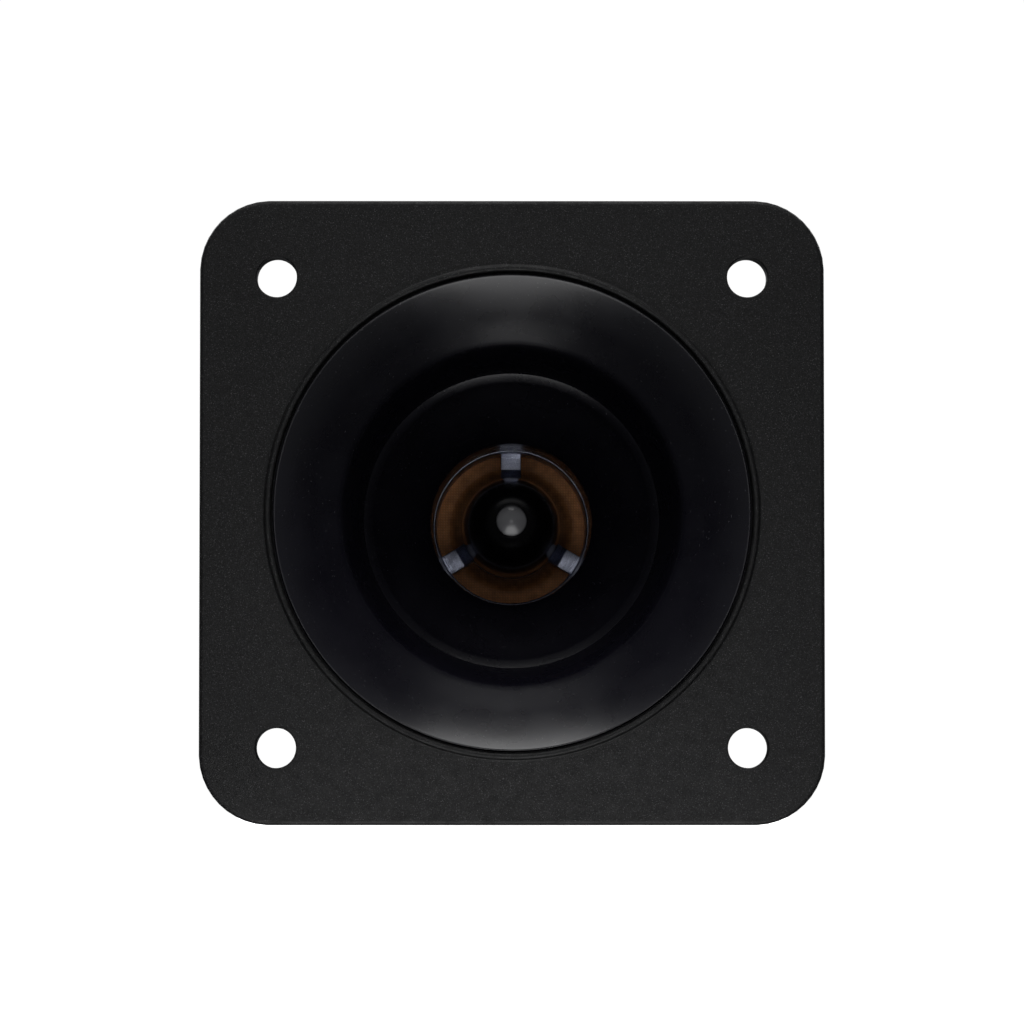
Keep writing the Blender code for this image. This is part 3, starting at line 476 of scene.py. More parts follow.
# %% Tree tools
def new_tree(name, *inputs):
    """A geometry tree with named inputs. Returns the tree and its inputs' sockets."""
    tree = bpy.data.node_groups.new(name, "GeometryNodeTree")
    for label, kind in inputs:
        tree.interface.new_socket(name=label, in_out="INPUT", socket_type="NodeSocket" + kind)
    tree.interface.new_socket(name="Geometry", in_out="OUTPUT", socket_type="NodeSocketGeometry")
    return tree, tree.nodes.new("NodeGroupInput").outputs


def end_tree(tree, geometry, finish):
    """Every tree ends by making its copies real and giving them their finish."""
    real = add_node(tree, "GeometryNodeRealizeInstances", {0: geometry}).outputs[0]
    inputs = {"Geometry": real, "Material": finish}
    done = add_node(tree, "GeometryNodeSetMaterial", inputs).outputs[0]
    add_node(tree, "NodeGroupOutput", {0: done})


SEAM = 0.0005 * MM  # points nearer to each other than this are one point
CREASE_DEGREES = 35  # a sharper corner than this is shaded as an edge


def settle(piece):
    """Applies everything on a piece, closes its seams and makes its faces look outward."""
    graph = bpy.context.evaluated_depsgraph_get()
    mesh = bpy.data.meshes.new_from_object(piece.evaluated_get(graph))
    shape = bmesh.new()
    shape.from_mesh(mesh)
    bmesh.ops.remove_doubles(shape, verts=shape.verts, dist=SEAM)
    bmesh.ops.dissolve_degenerate(shape, edges=shape.edges, dist=0.0002 * MM)
    bmesh.ops.recalc_face_normals(shape, faces=shape.faces)
    shape.to_mesh(mesh)
    shape.free()
    mesh.shade_smooth()
    mesh.set_sharp_from_angle(angle=math.radians(CREASE_DEGREES))
    piece.modifiers.clear()
    piece.data = mesh
    return piece


def run_tree(piece, tree, **values):
    """Runs a tree on a piece, with its inputs set by their identifiers."""
    change = piece.modifiers.new(tree.name, "NODES")
    change.node_group = tree
    for item in tree.interface.items_tree:
        if item.in_out == "INPUT" and item.name in values:
            change[item.identifier] = values[item.name]
    return settle(piece)


def new_piece(name, mesh):
    made = bpy.data.objects.new(name, mesh)
    bpy.context.scene.collection.objects.link(made)
    return made


# %% Lathe
LATHE_CIRCLE = 20 * MM  # the profile is carried on a circle of this radius


def make_lathe():
    tree, given = new_tree(
        "lathe", ("Profile", "Geometry"), ("Steps", "Int"), ("Finish", "Material")
    )
    inputs = {"Geometry": given["Profile"], "Translation": (-LATHE_CIRCLE, 0, 0)}
    moved = add_node(tree, "GeometryNodeTransform", inputs).outputs[0]
    profile = add_node(tree, "GeometryNodeMeshToCurve", {"Mesh": moved}).outputs[0]
    circle = add_node(tree, "GeometryNodeCurvePrimitiveCircle", {"Resolution": given["Steps"]})
    circle.inputs["Radius"].default_value = LATHE_CIRCLE
    inputs = {"Curve": circle.outputs[0], "Profile Curve": profile}
    skin = add_node(tree, "GeometryNodeCurveToMesh", inputs).outputs[0]
    inputs = {"Geometry": skin, "Rotation": (math.pi / 2, 0, 0)}
    upright = add_node(tree, "GeometryNodeTransform", inputs).outputs[0]
    inputs = {"Geometry": upright, "Distance": SEAM}
    closed = add_node(tree, "GeometryNodeMergeByDistance", inputs).outputs[0]
    end_tree(tree, closed, given["Finish"])
    return tree


LATHE = make_lathe()


def turned(name, outline, finish=None, steps=96, at=(0, 0)):
    """Turns a closed (radius, depth) outline round an axis along Y that passes through x, z."""
    count = len(outline)
    on_axis = [radius < 1e-9 for radius, _ in outline]
    edges = [
        (i, (i + 1) % count) for i in range(count) if not (on_axis[i] and on_axis[(i + 1) % count])
    ]
    profile = bpy.data.meshes.new(name)
    profile.from_pydata([(radius, y_of(depth), 0) for radius, depth in outline], edges, [])
    made = run_tree(new_piece(name, profile), LATHE, Steps=steps, Finish=FINISHES.get(finish))
    made.data.transform(Matrix.Translation((at[0], 0, at[1])))
    return made


# %% [markdown]
# ## Corners that catch the light
# No made corner is perfectly sharp: a mould has a small radius and a turner breaks the edge. On a
# black part, those tiny rounds are most of what shows, as thin bright lines. So each outline has its
# sharp corners eased before it is turned, and blocks have their edges bevelled.

# %% Outline tools
def eased(outline, radius, steps=3, least_turn=25):
    """Rounds the sharp corners of a closed outline."""
    points = []
    for i, corner in enumerate(outline):
        here = Vector(corner)
        to_before = Vector(outline[i - 1]) - here
        to_after = Vector(outline[(i + 1) % len(outline)]) - here
        turn = math.pi - to_before.angle(to_after)
        if turn < math.radians(least_turn) or here.x < 1e-9:
            points.append(tuple(here))
            continue
        room = 0.45 * min(to_before.length, to_after.length)
        reach = min(radius * math.tan(turn / 2), room)
        start = here + to_before.normalized() * reach
        end = here + to_after.normalized() * reach
        for k in range(steps + 1):
            t = k / steps
            points.append(tuple((1 - t) ** 2 * start + 2 * t * (1 - t) * here + t * t * end))
    return points


def curve_points(start, start_pull, end_pull, end, count):
    """Points on a cubic curve, both ends included, in mm."""
    points = []
    for i in range(count):
        t = i / (count - 1)
        s = 1 - t
        weights = (s**3, 3 * s * s * t, 3 * s * t * t, t**3)
        pulls = (start, start_pull, end_pull, end)
        points.append(tuple(sum(w * p[k] for w, p in zip(weights, pulls)) for k in range(2)))
    return points


def arc(centre, radius, start_degrees, end_degrees, count):
    points = []
    for i in range(count):
        angle = math.radians(start_degrees + (end_degrees - start_degrees) * i / (count - 1))
        points.append((centre[0] + radius * math.cos(angle), centre[1] + radius * math.sin(angle)))
    return points


def in_mm(points):
    return [tuple(MM * number for number in point) for point in points]


def ring_outline(inner, outer, front, rear):
    return in_mm([(inner, front), (outer, front), (outer, rear), (inner, rear)])


# %% [markdown]
# ## Blocks, plates and cuts
# Ribs, spokes and the terminal block are flat-sided. A plate is a side view given a thickness, and a
# block is a box with bevelled edges. Holes and pockets are cut with exact Booleans, and all the
# cutters of one job that don't touch each other are gathered into one helper, which is quicker.

# %% Blocks and plates
def from_shape(name, shape, finish=None):
    bmesh.ops.recalc_face_normals(shape, faces=shape.faces)
    mesh = bpy.data.meshes.new(name)
    shape.to_mesh(mesh)
    shape.free()
    if finish:
        mesh.materials.append(FINISHES[finish])
    return new_piece(name, mesh)


def bevel_all(shape, edge, segments=3):
    bmesh.ops.bevel(
        shape, geom=list(shape.edges), offset=edge, segments=segments, profile=0.5, affect="EDGES"
    )


def block(name, low, high, finish=None, edge=0.0):
    """A box between two (x, depth, z) corners in mm, with its edges rounded."""
    shape = bmesh.new()
    bmesh.ops.create_cube(shape, size=1)
    start, end = (
        Vector((x, depth - FLANGE_THICKNESS / MM, z)) * MM for x, depth, z in (low, high)
    )
    place = Matrix.Translation((start + end) / 2) @ Matrix.Diagonal((*(end - start), 1))
    bmesh.ops.transform(shape, matrix=place, verts=shape.verts)
    if edge:
        bevel_all(shape, edge * MM)
    return from_shape(name, shape, finish)


def plate(name, section, width, degrees=0, finish=None, edge=0.0, across=0.0):
    """A side view of (height, depth) points in mm, given a width and turned about the axis."""
    shape = bmesh.new()
    side = [
        shape.verts.new(((across - width / 2) * MM, y_of(depth * MM), height * MM))
        for height, depth in section
    ]
    moved = bmesh.ops.extrude_face_region(shape, geom=[shape.faces.new(side)])["geom"]
    far_side = [v for v in moved if isinstance(v, bmesh.types.BMVert)]
    bmesh.ops.translate(shape, vec=(width * MM, 0, 0), verts=far_side)
    if edge:
        bevel_all(shape, edge * MM, 2)
    turn = Matrix.Rotation(math.radians(degrees), 4, "Y")
    bmesh.ops.transform(shape, matrix=turn, verts=shape.verts)
    return from_shape(name, shape, finish)


# %% Cuts and joins
def gathered(name, pieces):
    """Several separate meshes in one object."""
    shape = bmesh.new()
    for piece in pieces:
        shape.from_mesh(piece.data)
        bpy.data.objects.remove(piece)
    return from_shape(name, shape)


def combine(target, operation, *groups):
    """Joins or cuts each group of pieces that don't touch each other, one group at a time."""
    helpers = []
    for group in groups:
        helper = gathered("helper", group)
        change = target.modifiers.new("change", "BOOLEAN")
        change.operation = operation
        change.solver = "EXACT"
        change.object = helper
        helpers.append(helper)
    settle(target)
    for helper in helpers:
        bpy.data.objects.remove(helper)
    return target


def open_edges(piece):
    """How many edges don't have exactly two faces. A closed piece has none."""
    shape = bmesh.new()
    shape.from_mesh(piece.data)
    count = sum(len(edge.link_faces) != 2 for edge in shape.edges)
    shape.free()
    return count


def fit(piece, body, slot, *nodes):
    """Lets a finished piece stand for its CAD nodes and move with their body."""
    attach(piece, body)
    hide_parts(*nodes)
    sides = [round(1000 * side, 1) for side in piece.dimensions]
    print(f"{piece.name}: {len(piece.data.polygons)} faces, {sides} mm, open {open_edges(piece)}")


def quarters(circle, offset_degrees=0.0):
    """Four (x, z) places on a circle, in mm."""
    angles = [math.radians(offset_degrees + 90 * i) for i in range(4)]
    return [(circle * math.cos(a), circle * math.sin(a)) for a in angles]


# %% [markdown]
# ## The horn
# The horn is the main piece: an outer bowl that opens to the mouth, a narrow ledge, an inner cone,
# and a nearly straight throat whose wall mirrors the brown diaphragm. The bowl is two smooth curves
# with a short cone between them, the inner cone is one curve, and the lathe does the rest. Behind
# the flange the same moulding has a collar that is screwed into the flange, a neck, and a wide base
# that carries the motor, with bosses and gussets.

# %% Horn section
def horn_outline():
    bowl = curve_points((36.05, 0.25), (34.15, 1.87), (31.84, 4.33), (30.5, 5.8), 24)
    bowl += curve_points((30.5, 5.8), (29.16, 7.27), (27.75, 8.7), (26.4, 10.1), 8)[1:]
    bowl += curve_points((26.4, 10.1), (25.75, 10.8), (24.3, 16.5), (23.1, 26.0), 24)[1:]
    cone = curve_points((22.0, 26.7), (19.4, 30.2), (14.4, 34.4), (12.8, 37.2), 24)
    throat = [(12.35, 48.3), (20.2, 48.3), (20.2, 56.0)]
    base = [(38.0, 56.0), (38.0, 50.0), (24.0, 50.0)]
    waist = curve_points((24.4, 34.0), (24.8, 29.0), (26.0, 22.0), (31.0, 10.0), 16)
    collar = [(35.4, 5.0), (43.0, 5.0), (43.0, 3.1), (36.3, 3.1), (36.3, 0.25)]
    return in_mm(bowl + cone + throat + base + waist + collar)


def cylinder(name, radius, front, rear, at=(0, 0), steps=48, edge=0.0):
    """A rod along Y between two depths, all in mm."""
    outline = in_mm([(0, front), (radius, front), (radius, rear), (0, rear)])
    outline = eased(outline, edge * MM) if edge else outline
    return turned(name, outline, steps=steps, at=(at[0] * MM, at[1] * MM))


# %% Horn with bosses, gussets and holes
LEAD_X = 6.8
LEAD_Z = -27.1
LUG_X = 15.9
LUG_Z = -31.2
BODY_SCREWS = quarters(33.8, 45)
COLLAR_SCREWS = quarters(40.2)


def make_horn():
    horn = turned("horn", eased(horn_outline(), 0.16 * MM), "horn_plastic", 192)
    bosses = [cylinder("boss", 3.8, 45, 52, place, edge=0.3) for place in BODY_SCREWS]
    section = [(21.8, 36.0), (21.8, 51.0), (36.0, 51.0)]
    gussets = [plate("gusset", section, 2.0, turn, edge=0.15) for turn in (-90, 0, 90)]
    combine(horn, "UNION", bosses + gussets)
    holes = [cylinder("pilot", 2.2, 47, 58, place) for place in BODY_SCREWS]
    sink = in_mm([(0, 2.0), (1.45, 2.0), (1.45, 3.75), (3.45, 5.75), (0, 5.75)])
    for x, z in COLLAR_SCREWS:
        holes.append(turned("sink", sink, steps=48, at=(x * MM, z * MM)))
    for side in (-1, 1):
        holes.append(cylinder("lug_hole", 1.3, 48, 54.5, (side * LUG_X, LUG_Z)))
        holes.append(cylinder("lead_hole", 1.2, 48, 58, (side * LEAD_X, LEAD_Z)))
    combine(horn, "DIFFERENCE", holes)
    fit(horn, "housing", "horn_plastic", "horn_flare")


make_horn()

# %% [markdown]
# ## The flange
# The flange is a cast square plate with rounded corners, a thin raised bead round the mouth, and four
# fixing holes. A square plate with a round bead in it is awkward for a lathe. Instead, 256 spokes run
# out from the axis, and each row of points lies either on a circle, near the mouth, or on the rounded
# square, near the rim. That gives clean rows round the bead and an even bevel on the rim.

# %% Flange rows
FLANGE_SPOKES = 256
FLANGE_HALF = 47.5
FLANGE_CORNER = 10.7
FLANGE_RIM = 0.7
HOLE_PLACE = 35.8  # a fixing hole's distance from each middle line


def square_reach(angle, inset):
    """Distance from the axis to the rounded square along one spoke, in mm."""
    along = max(abs(math.cos(angle)), abs(math.sin(angle)))
    beside = min(abs(math.cos(angle)), abs(math.sin(angle)))
    half = FLANGE_HALF - inset
    middle = FLANGE_HALF - FLANGE_CORNER
    if half / along * beside <= middle:
        return half / along
    corner = FLANGE_CORNER - inset
    both = middle * (along + beside)
    return both + math.sqrt(both**2 - 2 * middle**2 + corner**2)


def flange_rows():
    """Rows of (reach at a spoke's angle, depth), from the seat's rear edge round to the rim's."""
    circles = [(43.3, 5.0), (43.3, 2.8), (36.7, 2.8), (36.7, 0.5)]
    circles += arc((37.15, -0.55), 0.45, 180, 360, 13)
    circles += arc((37.9, -0.3), 0.3, 180, 90, 5)
    rows = [(lambda angle, r=radius: r, depth) for radius, depth in circles]
    rim = [
        (FLANGE_RIM - FLANGE_RIM * math.sin(t), FLANGE_RIM - FLANGE_RIM * math.cos(t))
        for t in (math.radians(15 * i) for i in range(7))
    ]
    rim += [(0.0, 4.75), (0.08, 4.92), (0.25, 5.0)]
    rows += [(lambda angle, i=inset: square_reach(angle, i), depth) for inset, depth in rim]
    return rows


def make_flange():
    shape = bmesh.new()
    grid = []
    for reach, depth in flange_rows():
        row = []
        for i in range(FLANGE_SPOKES):
            angle = math.tau * i / FLANGE_SPOKES
            radius = reach(angle) * MM
            place = (radius * math.cos(angle), y_of(depth * MM), radius * math.sin(angle))
            row.append(shape.verts.new(place))
        grid.append(row)
    for r in range(len(grid)):
        near, far = grid[r], grid[(r + 1) % len(grid)]
        for i in range(FLANGE_SPOKES):
            j = (i + 1) % FLANGE_SPOKES
            shape.faces.new((near[i], near[j], far[j], far[i]))
    flange = from_shape("flange", shape, "powder_coat")
    hole = in_mm([(0, -1), (4.25, -1), (3.05, 0.2), (3.05, 4.8), (4.25, 6), (0, 6)])
    cutters = [
        turned("fixing", hole, steps=64, at=(HOLE_PLACE * x * MM, HOLE_PLACE * z * MM))
        for x, z in ((1, 1), (-1, 1), (-1, -1), (1, -1))
    ]
    taps = [cylinder("tap", 1.45, 1.2, 3.6, place, 24) for place in COLLAR_SCREWS]
    combine(flange, "DIFFERENCE", cutters + taps)
    fit(flange, "housing", "powder_coat", "mounting_flange")


make_flange()

# %% [markdown]
# ## Throat ring with its three spokes
# The metal ring in the throat holds the bullet's hub on three spokes and covers the diaphragm's rim.
# It is turned from aluminium: its front edge stands just inside the horn's throat and shows as a
# thin light line. The spokes' outer faces lie flat to the front and slope up to the hub inside.

# %% Throat ring
def make_throat_ring():
    ring = [(12.3, 48.6), (12.1, 48.8), (11.9, 55), (17, 55), (17, 56), (19.9, 56), (19.9, 48.6)]
    piece = turned("throat_ring", eased(in_mm(ring), 0.12 * MM), "bare_aluminium", 160)
    hub = in_mm([(0, 48.9), (7.9, 48.9), (7.9, 56), (0, 56)])
    section = [(5, 49.1), (7.8, 49.1), (9.4, 51.2), (14, 51.2), (14, 54.6), (5, 54.6)]
    spokes = [plate("spoke", section, 3.2, turn, edge=0.14) for turn in (0, 120, 240)]
    combine(piece, "UNION", [turned("hub", eased(hub, 0.15 * MM), steps=96)], spokes)
    combine(piece, "DIFFERENCE", [cylinder("bore", 2.3, 45, 60)])
    fit(piece, "housing", "bare_aluminium", "throat_spider")


make_throat_ring()

# %% [markdown]
# ## The bullet
# The bullet is a polished plug whose tapered side guides the sound out of the throat. Its nose is a
# blunt round cap that runs smoothly into a long curve. The profile goes nose, side, base, and the
# blind hole for its screw.

# %% Bullet and its screw
TIP_DEPTH = 26.0
TIP_RADIUS = 4.7


def make_bullet():
    nose = arc((0, TIP_DEPTH + TIP_RADIUS), TIP_RADIUS, -90, -58, 14)
    nose[0] = (0, TIP_DEPTH)
    side = curve_points(nose[-1], (3.9, 27.6), (8.0, 38.0), (8.0, 47.4), 44)[1:]
    base = [(8.0, 48.45), (7.85, 48.6), (2.3, 48.6), (2.3, 41.5), (0, 40.5)]
    piece = turned("bullet_plug", in_mm(nose + side + base), "gloss_black", 128)
    fit(piece, "housing", "gloss_black", "bullet")


def threads(front, rear, crest, root, pitch):
    """A row of thread ridges from front to rear, as an outline's side."""
    points = []
    for i in range(int((rear - front) / pitch)):
        start = front + i * pitch
        points += [(root, start), (crest, start + 0.45 * pitch), (crest, start + 0.6 * pitch)]
    return points + [(root, rear)]


def make_bullet_screw():
    outline = [(0, 42.0), (1.4, 42.2), *threads(42.4, 50.4, 2.0, 1.7, 0.7), (2.0, 50.7)]
    outline += [(2.0, 75.9), (3.5, 75.9), (3.5, 78.9), (0, 78.9)]
    outline = eased(in_mm(outline), 0.18 * MM, 2, 60)
    piece = turned("bullet_screw_turned", outline, "zinc_steel", 48)
    combine(piece, "DIFFERENCE", [cylinder("socket", 1.75, 77.1, 80, steps=6)])
    fit(piece, "housing", "zinc_steel", "bullet_screw")


make_bullet()
make_bullet_screw()

# %% [markdown]
# ## The diaphragm and its coil
# The moving part is one thin ring of resin cloth with a raised band, a roll outside it that lets it
# move, and a tube glued behind it that carries the voice coil in the motor's gap. All three ride on
# the coil's body, which slides a few tenths of a millimetre along the axis.

# %% Diaphragm and former
def smooth_line(points, between):
    """A smooth curve through (radius, depth) points, with extra points between them."""
    ends = [points[0], *points, points[-1]]
    line = []
    for i in range(len(points) - 1):
        a, b, c, d = (Vector(p) for p in ends[i : i + 4])
        for k in range(between):
            t = k / between
            line.append(
                tuple(0.5 * (2 * b + (c - a) * t + (2 * a - 5 * b + 4 * c - d) * t**2
                             + (3 * b - a - 3 * c + d) * t**3))
            )
    return line + [points[-1]]


def make_diaphragm():
    line = smooth_line(
        [(5.6, 56.6), (8.2, 56.6), (9.6, 56.1), (10.2, 55.97), (12.2, 55.97), (12.9, 56.15),
         (13.8, 56.7), (14.8, 56.4), (15.5, 56.6), (16.6, 56.6)], 5,
    )
    film = line + [(radius, depth + 0.33) for radius, depth in reversed(line)]
    piece = turned("diaphragm_film", in_mm(film), "brown_phenolic", 144)
    fit(piece, "moving_coil", "brown_phenolic", "diaphragm")
    tube_section = eased(ring_outline(12.4, 12.65, 56.6, 66.0), 0.05 * MM)
    tube = turned("former_tube", tube_section, "former_film", 128)
    fit(tube, "moving_coil", "former_film", "coil_former")


make_diaphragm()


# %% [markdown]
# ## Wound wire
# A voice coil is round wire wound turn against turn, and a push button's spring is the same helix
# with air between its turns. One tree winds both: a spiral curve, a round wire drawn along it, and
# caps on its ends. It stands on Z for the springs and is laid along Y for the coil.

# %% Wire tree
def make_winder():
    tree, given = new_tree(
        "winder", ("Base", "Geometry"), ("Radius", "Float"), ("Wire", "Float"), ("Turns", "Float"),
        ("Length", "Float"), ("Steps", "Int"), ("Sides", "Int"), ("Lean", "Float"),
        ("Place", "Vector"), ("Finish", "Material"),
    )
    inputs = {
        "Resolution": given["Steps"], "Rotations": given["Turns"], "Start Radius": given["Radius"],
        "End Radius": given["Radius"], "Height": given["Length"],
    }
    path = add_node(tree, "GeometryNodeCurveSpiral", inputs).outputs[0]
    inputs = {"Resolution": given["Sides"], "Radius": given["Wire"]}
    section = add_node(tree, "GeometryNodeCurvePrimitiveCircle", inputs).outputs[0]
    inputs = {"Curve": path, "Profile Curve": section, "Fill Caps": True}
    wire = add_node(tree, "GeometryNodeCurveToMesh", inputs).outputs[0]
    lean = add_node(tree, "ShaderNodeCombineXYZ", {0: given["Lean"]}).outputs[0]
    inputs = {"Geometry": wire, "Rotation": lean, "Translation": given["Place"]}
    laid = add_node(tree, "GeometryNodeTransform", inputs).outputs[0]
    end_tree(tree, laid, given["Finish"])
    return tree


WINDER = make_winder()


def wound(name, finish, place, **sizes):
    piece = new_piece(name, bpy.data.meshes.new(name))
    return run_tree(piece, WINDER, Place=place, Finish=FINISHES[finish], **sizes)


# %% Voice coil
coil = wound(
    "coil_winding", "copper_winding", (0, y_of(64.47 * MM), 0), Radius=12.87 * MM, Wire=0.165 * MM,
    Turns=14.0, Length=4.70 * MM, Steps=96, Sides=6, Lean=math.pi / 2,
)
fit(coil, "moving_coil", "copper_winding", "voice_coil")

# %% [markdown]
# ## The diaphragm's frame and the motor
# Behind the horn's base come a plastic frame that clamps the diaphragm's rim on a foam ring, a steel
# top plate, the ferrite magnet, and a steel back plate with a pole through it. They are plain turned
# rings; their broken edges, the drilled holes and the finish make them what they are.

# %% Frame and motor rings
def drilled(piece, front, rear):
    holes = [cylinder("hole", 2.2, front, rear, place) for place in BODY_SCREWS]
    return combine(piece, "DIFFERENCE", holes)


def make_frame():
    outline = [(17, 57.4), (20.1, 57.4), (20.1, 56.3), (38, 56.3), (38, 59.3), (17, 59.3)]
    piece = turned("clamp_frame", eased(in_mm(outline), 0.25 * MM), "frame_plastic", 160)
    drilled(piece, 54, 62)
    channels = [
        block("channel", (side * LEAD_X - 0.9, 54, -28.3), (side * LEAD_X + 0.9, 58.2, -21.2))
        for side in (-1, 1)
    ]
    combine(piece, "DIFFERENCE", channels)
    fit(piece, "housing", "frame_plastic", "diaphragm_frame")


def make_motor():
    section = eased(ring_outline(17.4, 19.8, 56.3, 57.1), 0.15 * MM)
    gasket = turned("foam_ring", section, "gasket_foam", 96)
    fit(gasket, "housing", "gasket_foam", "diaphragm_gasket")
    section = eased(ring_outline(2.6, 7.6, 57.4, 59.3), 0.2 * MM)
    washer = turned("clamp_washer", section, "brass", 96)
    fit(washer, "housing", "brass", "inner_clamp_ring")
    plate_outline = [(13.4, 59.6), (38, 59.6), (38, 63.6), (37.5, 64.1), (13.4, 64.1)]
    top = turned("top_steel", eased(in_mm(plate_outline), 0.12 * MM), "black_steel", 192)
    fit(drilled(top, 58, 66), "housing", "black_steel", "top_plate")
    outline = [(17, 64.4), (29.3, 64.4), (30, 65.1), (30, 73.7), (29.3, 74.4), (17, 74.4)]
    ring = turned("ferrite_ring", eased(in_mm(outline), 0.15 * MM), "ferrite", 160)
    fit(ring, "housing", "ferrite", "magnet")
    outline = [(8, 74.7), (30, 74.7), (30, 78.4), (29.2, 79.2), (12.6, 79.2), (12.4, 78.9)]
    outline += [(12.0, 78.9), (11.8, 79.2), (8, 79.2)]
    back = turned("back_steel", eased(in_mm(outline), 0.12 * MM, least_turn=40), "black_steel", 160)
    fit(back, "housing", "black_steel", "back_plate")
    outline = [(2.3, 59.6), (12, 59.6), (12, 74.4), (7.7, 74.4), (7.7, 79.2), (4, 79.2), (4, 75.6)]
    pole = turned("pole", eased(in_mm(outline + [(2.3, 75.6)]), 0.2 * MM), "pole_steel", 128)
    fit(pole, "housing", "pole_steel", "pole_piece")


make_frame()
make_motor()

# %% [markdown]
# ## Screws
# The same screw is used several times, each left at whatever turn it stopped at. So one screw is
# turned and its cross recess is cut, and a tree sets a copy on every place with a random turn from a
# fixed seed. Body screws have a round pan head, the ones in the collar a countersunk head.

# %% Screw tree
def make_screw_setter():
    tree, given = new_tree(
        "screw_setter", ("Places", "Geometry"), ("Screw", "Object"), ("Seed", "Int"),
        ("Finish", "Material"),
    )
    screw = add_node(tree, "GeometryNodeObjectInfo", {"Object": given["Screw"]})
    inputs = {"Seed": given["Seed"]}
    turn = add_node(tree, "FunctionNodeRandomValue", inputs, data_type="FLOAT")
    turn.inputs[3].default_value = math.pi / 2
    angles = add_node(tree, "ShaderNodeCombineXYZ", {1: turn.outputs[1]}).outputs[0]
    turned_by = add_node(tree, "FunctionNodeEulerToRotation", {0: angles}).outputs[0]
    inputs = {
        "Points": given["Places"], "Instance": screw.outputs["Geometry"], "Rotation": turned_by,
    }
    copies = add_node(tree, "GeometryNodeInstanceOnPoints", inputs).outputs[0]
    end_tree(tree, copies, given["Finish"])
    return tree


SCREW_SETTER = make_screw_setter()


def cross_cutters(face, size, floor):
    """Two crossing slots from in front of a head's face down to the recess's floor, in mm."""
    half, thin = size / 2, 0.14 * size
    front, rear = sorted((floor, face + math.copysign(1.0, face - floor)))
    return (
        [block("slot", (-half, front, -thin), (half, rear, thin))],
        [block("slot", (-thin, front, -half), (thin, rear, half))],
    )


def set_screws(name, screw, places, seed, slot, *nodes):
    points = bpy.data.meshes.new(name)
    points.from_pydata([(x * MM, 0, z * MM) for x, z in places], [], [])
    piece = new_piece(name, points)
    run_tree(piece, SCREW_SETTER, Screw=screw, Seed=seed, Finish=FINISHES[slot])
    bpy.data.objects.remove(screw)
    fit(piece, "housing", slot, *nodes)


# %% Body, collar and terminal screws
def make_screws():
    dome = arc((0, 62.9), 3.9, 55.2, 90, 7)
    body = [(0, 48.0), (1.2, 48.1), *threads(48.6, 55.6, 1.9, 1.55, 0.9), (1.9, 55.9)]
    body += [(1.9, 64.4), (3.2, 64.4), (3.2, 65.8), *dome[1:-1], (0, 66.8)]
    screw = turned("body_screw", eased(in_mm(body), 0.12 * MM, 2, 60), steps=40)
    combine(screw, "DIFFERENCE", *cross_cutters(66.8, 3.2, 65.5))
    nodes = [f"body_screw_{i}" for i in range(1, 5)]
    set_screws("body_screws", screw, BODY_SCREWS, 4, "zinc_steel", *nodes)

    collar = [(0, 1.6), (1.15, 2.0), (1.15, 3.7), (2.3, 4.75), (2.3, 4.9), (0, 4.9)]
    screw = turned("collar_screw", eased(in_mm(collar), 0.06 * MM, 2), steps=32)
    combine(screw, "DIFFERENCE", *cross_cutters(4.9, 2.4, 4.1))
    nodes = [f"horn_screw_{i}" for i in range(1, 5)]
    set_screws("collar_screws", screw, COLLAR_SCREWS, 9, "black_steel", *nodes)

    lug = [(0, 46.0), (1.2, 46.05), (1.7, 46.35), (2.0, 46.9), (2.0, 47.4), (1.0, 47.4)]
    lug += [*threads(50.2, 53.6, 1.0, 0.8, 0.6), (0, 54.0)]
    screw = turned("lug_screw", eased(in_mm(lug), 0.05 * MM, 2, 60), steps=32)
    combine(screw, "DIFFERENCE", *cross_cutters(46.0, 2.2, 46.8))
    places = [(-LUG_X, LUG_Z), (LUG_X, LUG_Z)]
    nodes = ("terminal_screw_left", "terminal_screw_right")
    set_screws("terminal_screws", screw, places, 2, "zinc_steel", *nodes)


make_screws()

# %% [markdown]
# ## The push terminals
# Below the neck sits a small black block with two push buttons, red and black. Pressing a button up
# against its spring opens the wire's way to a brass strip. The block is cut from a bevelled box, the
# strips are bent sheet, and each button has grip ribs set along its face by a tree.

# %% Block and cover
def make_block():
    piece = block("block_housing", (-13, 38, -36.6), (13, 49.7, -24.8), "black_plastic", 0.35)
    lugs, holes, buttons, wires, tags = [], [], [], [], []
    for side in (-1, 1):
        x = side * LEAD_X
        near, far = sorted((side * 12, side * 18.4))
        lugs.append(block("lug", (near, 47.7, -33.6), (far, 49.7, -28.8), edge=0.3))
        holes.append(cylinder("lug_bore", 1.3, 45, 52, (side * LUG_X, LUG_Z)))
        buttons.append(block("pocket", (x - 3.4, 42.6, -38.6), (x + 3.4, 47.6, -28.4)))
        wires.append(block("wire_way", (x - 2.0, 36, -38.6), (x + 2.0, 41.9, -26.6)))
        tags.append(block("tag_slot", (x - 2.0, 41.6, -27.6), (x + 2.0, 51.7, -26.6)))
    combine(piece, "UNION", lugs)
    combine(piece, "DIFFERENCE", holes, buttons, wires, tags)
    fit(piece, "housing", "black_plastic", "terminal_block")
    cover = block("block_cover", (-13, 36.4, -36.6), (13, 37.97, -24.8), "black_plastic", 0.3)
    grooves = [
        block("groove", (-10, 35.9, z - 0.25), (10, 36.65, z + 0.25), edge=0.08)
        for z in (-34.2, -32.9, -31.6, -30.3, -29.0, -27.7)
    ]
    combine(cover, "DIFFERENCE", grooves)
    fit(cover, "housing", "black_plastic", "terminal_cover")


make_block()


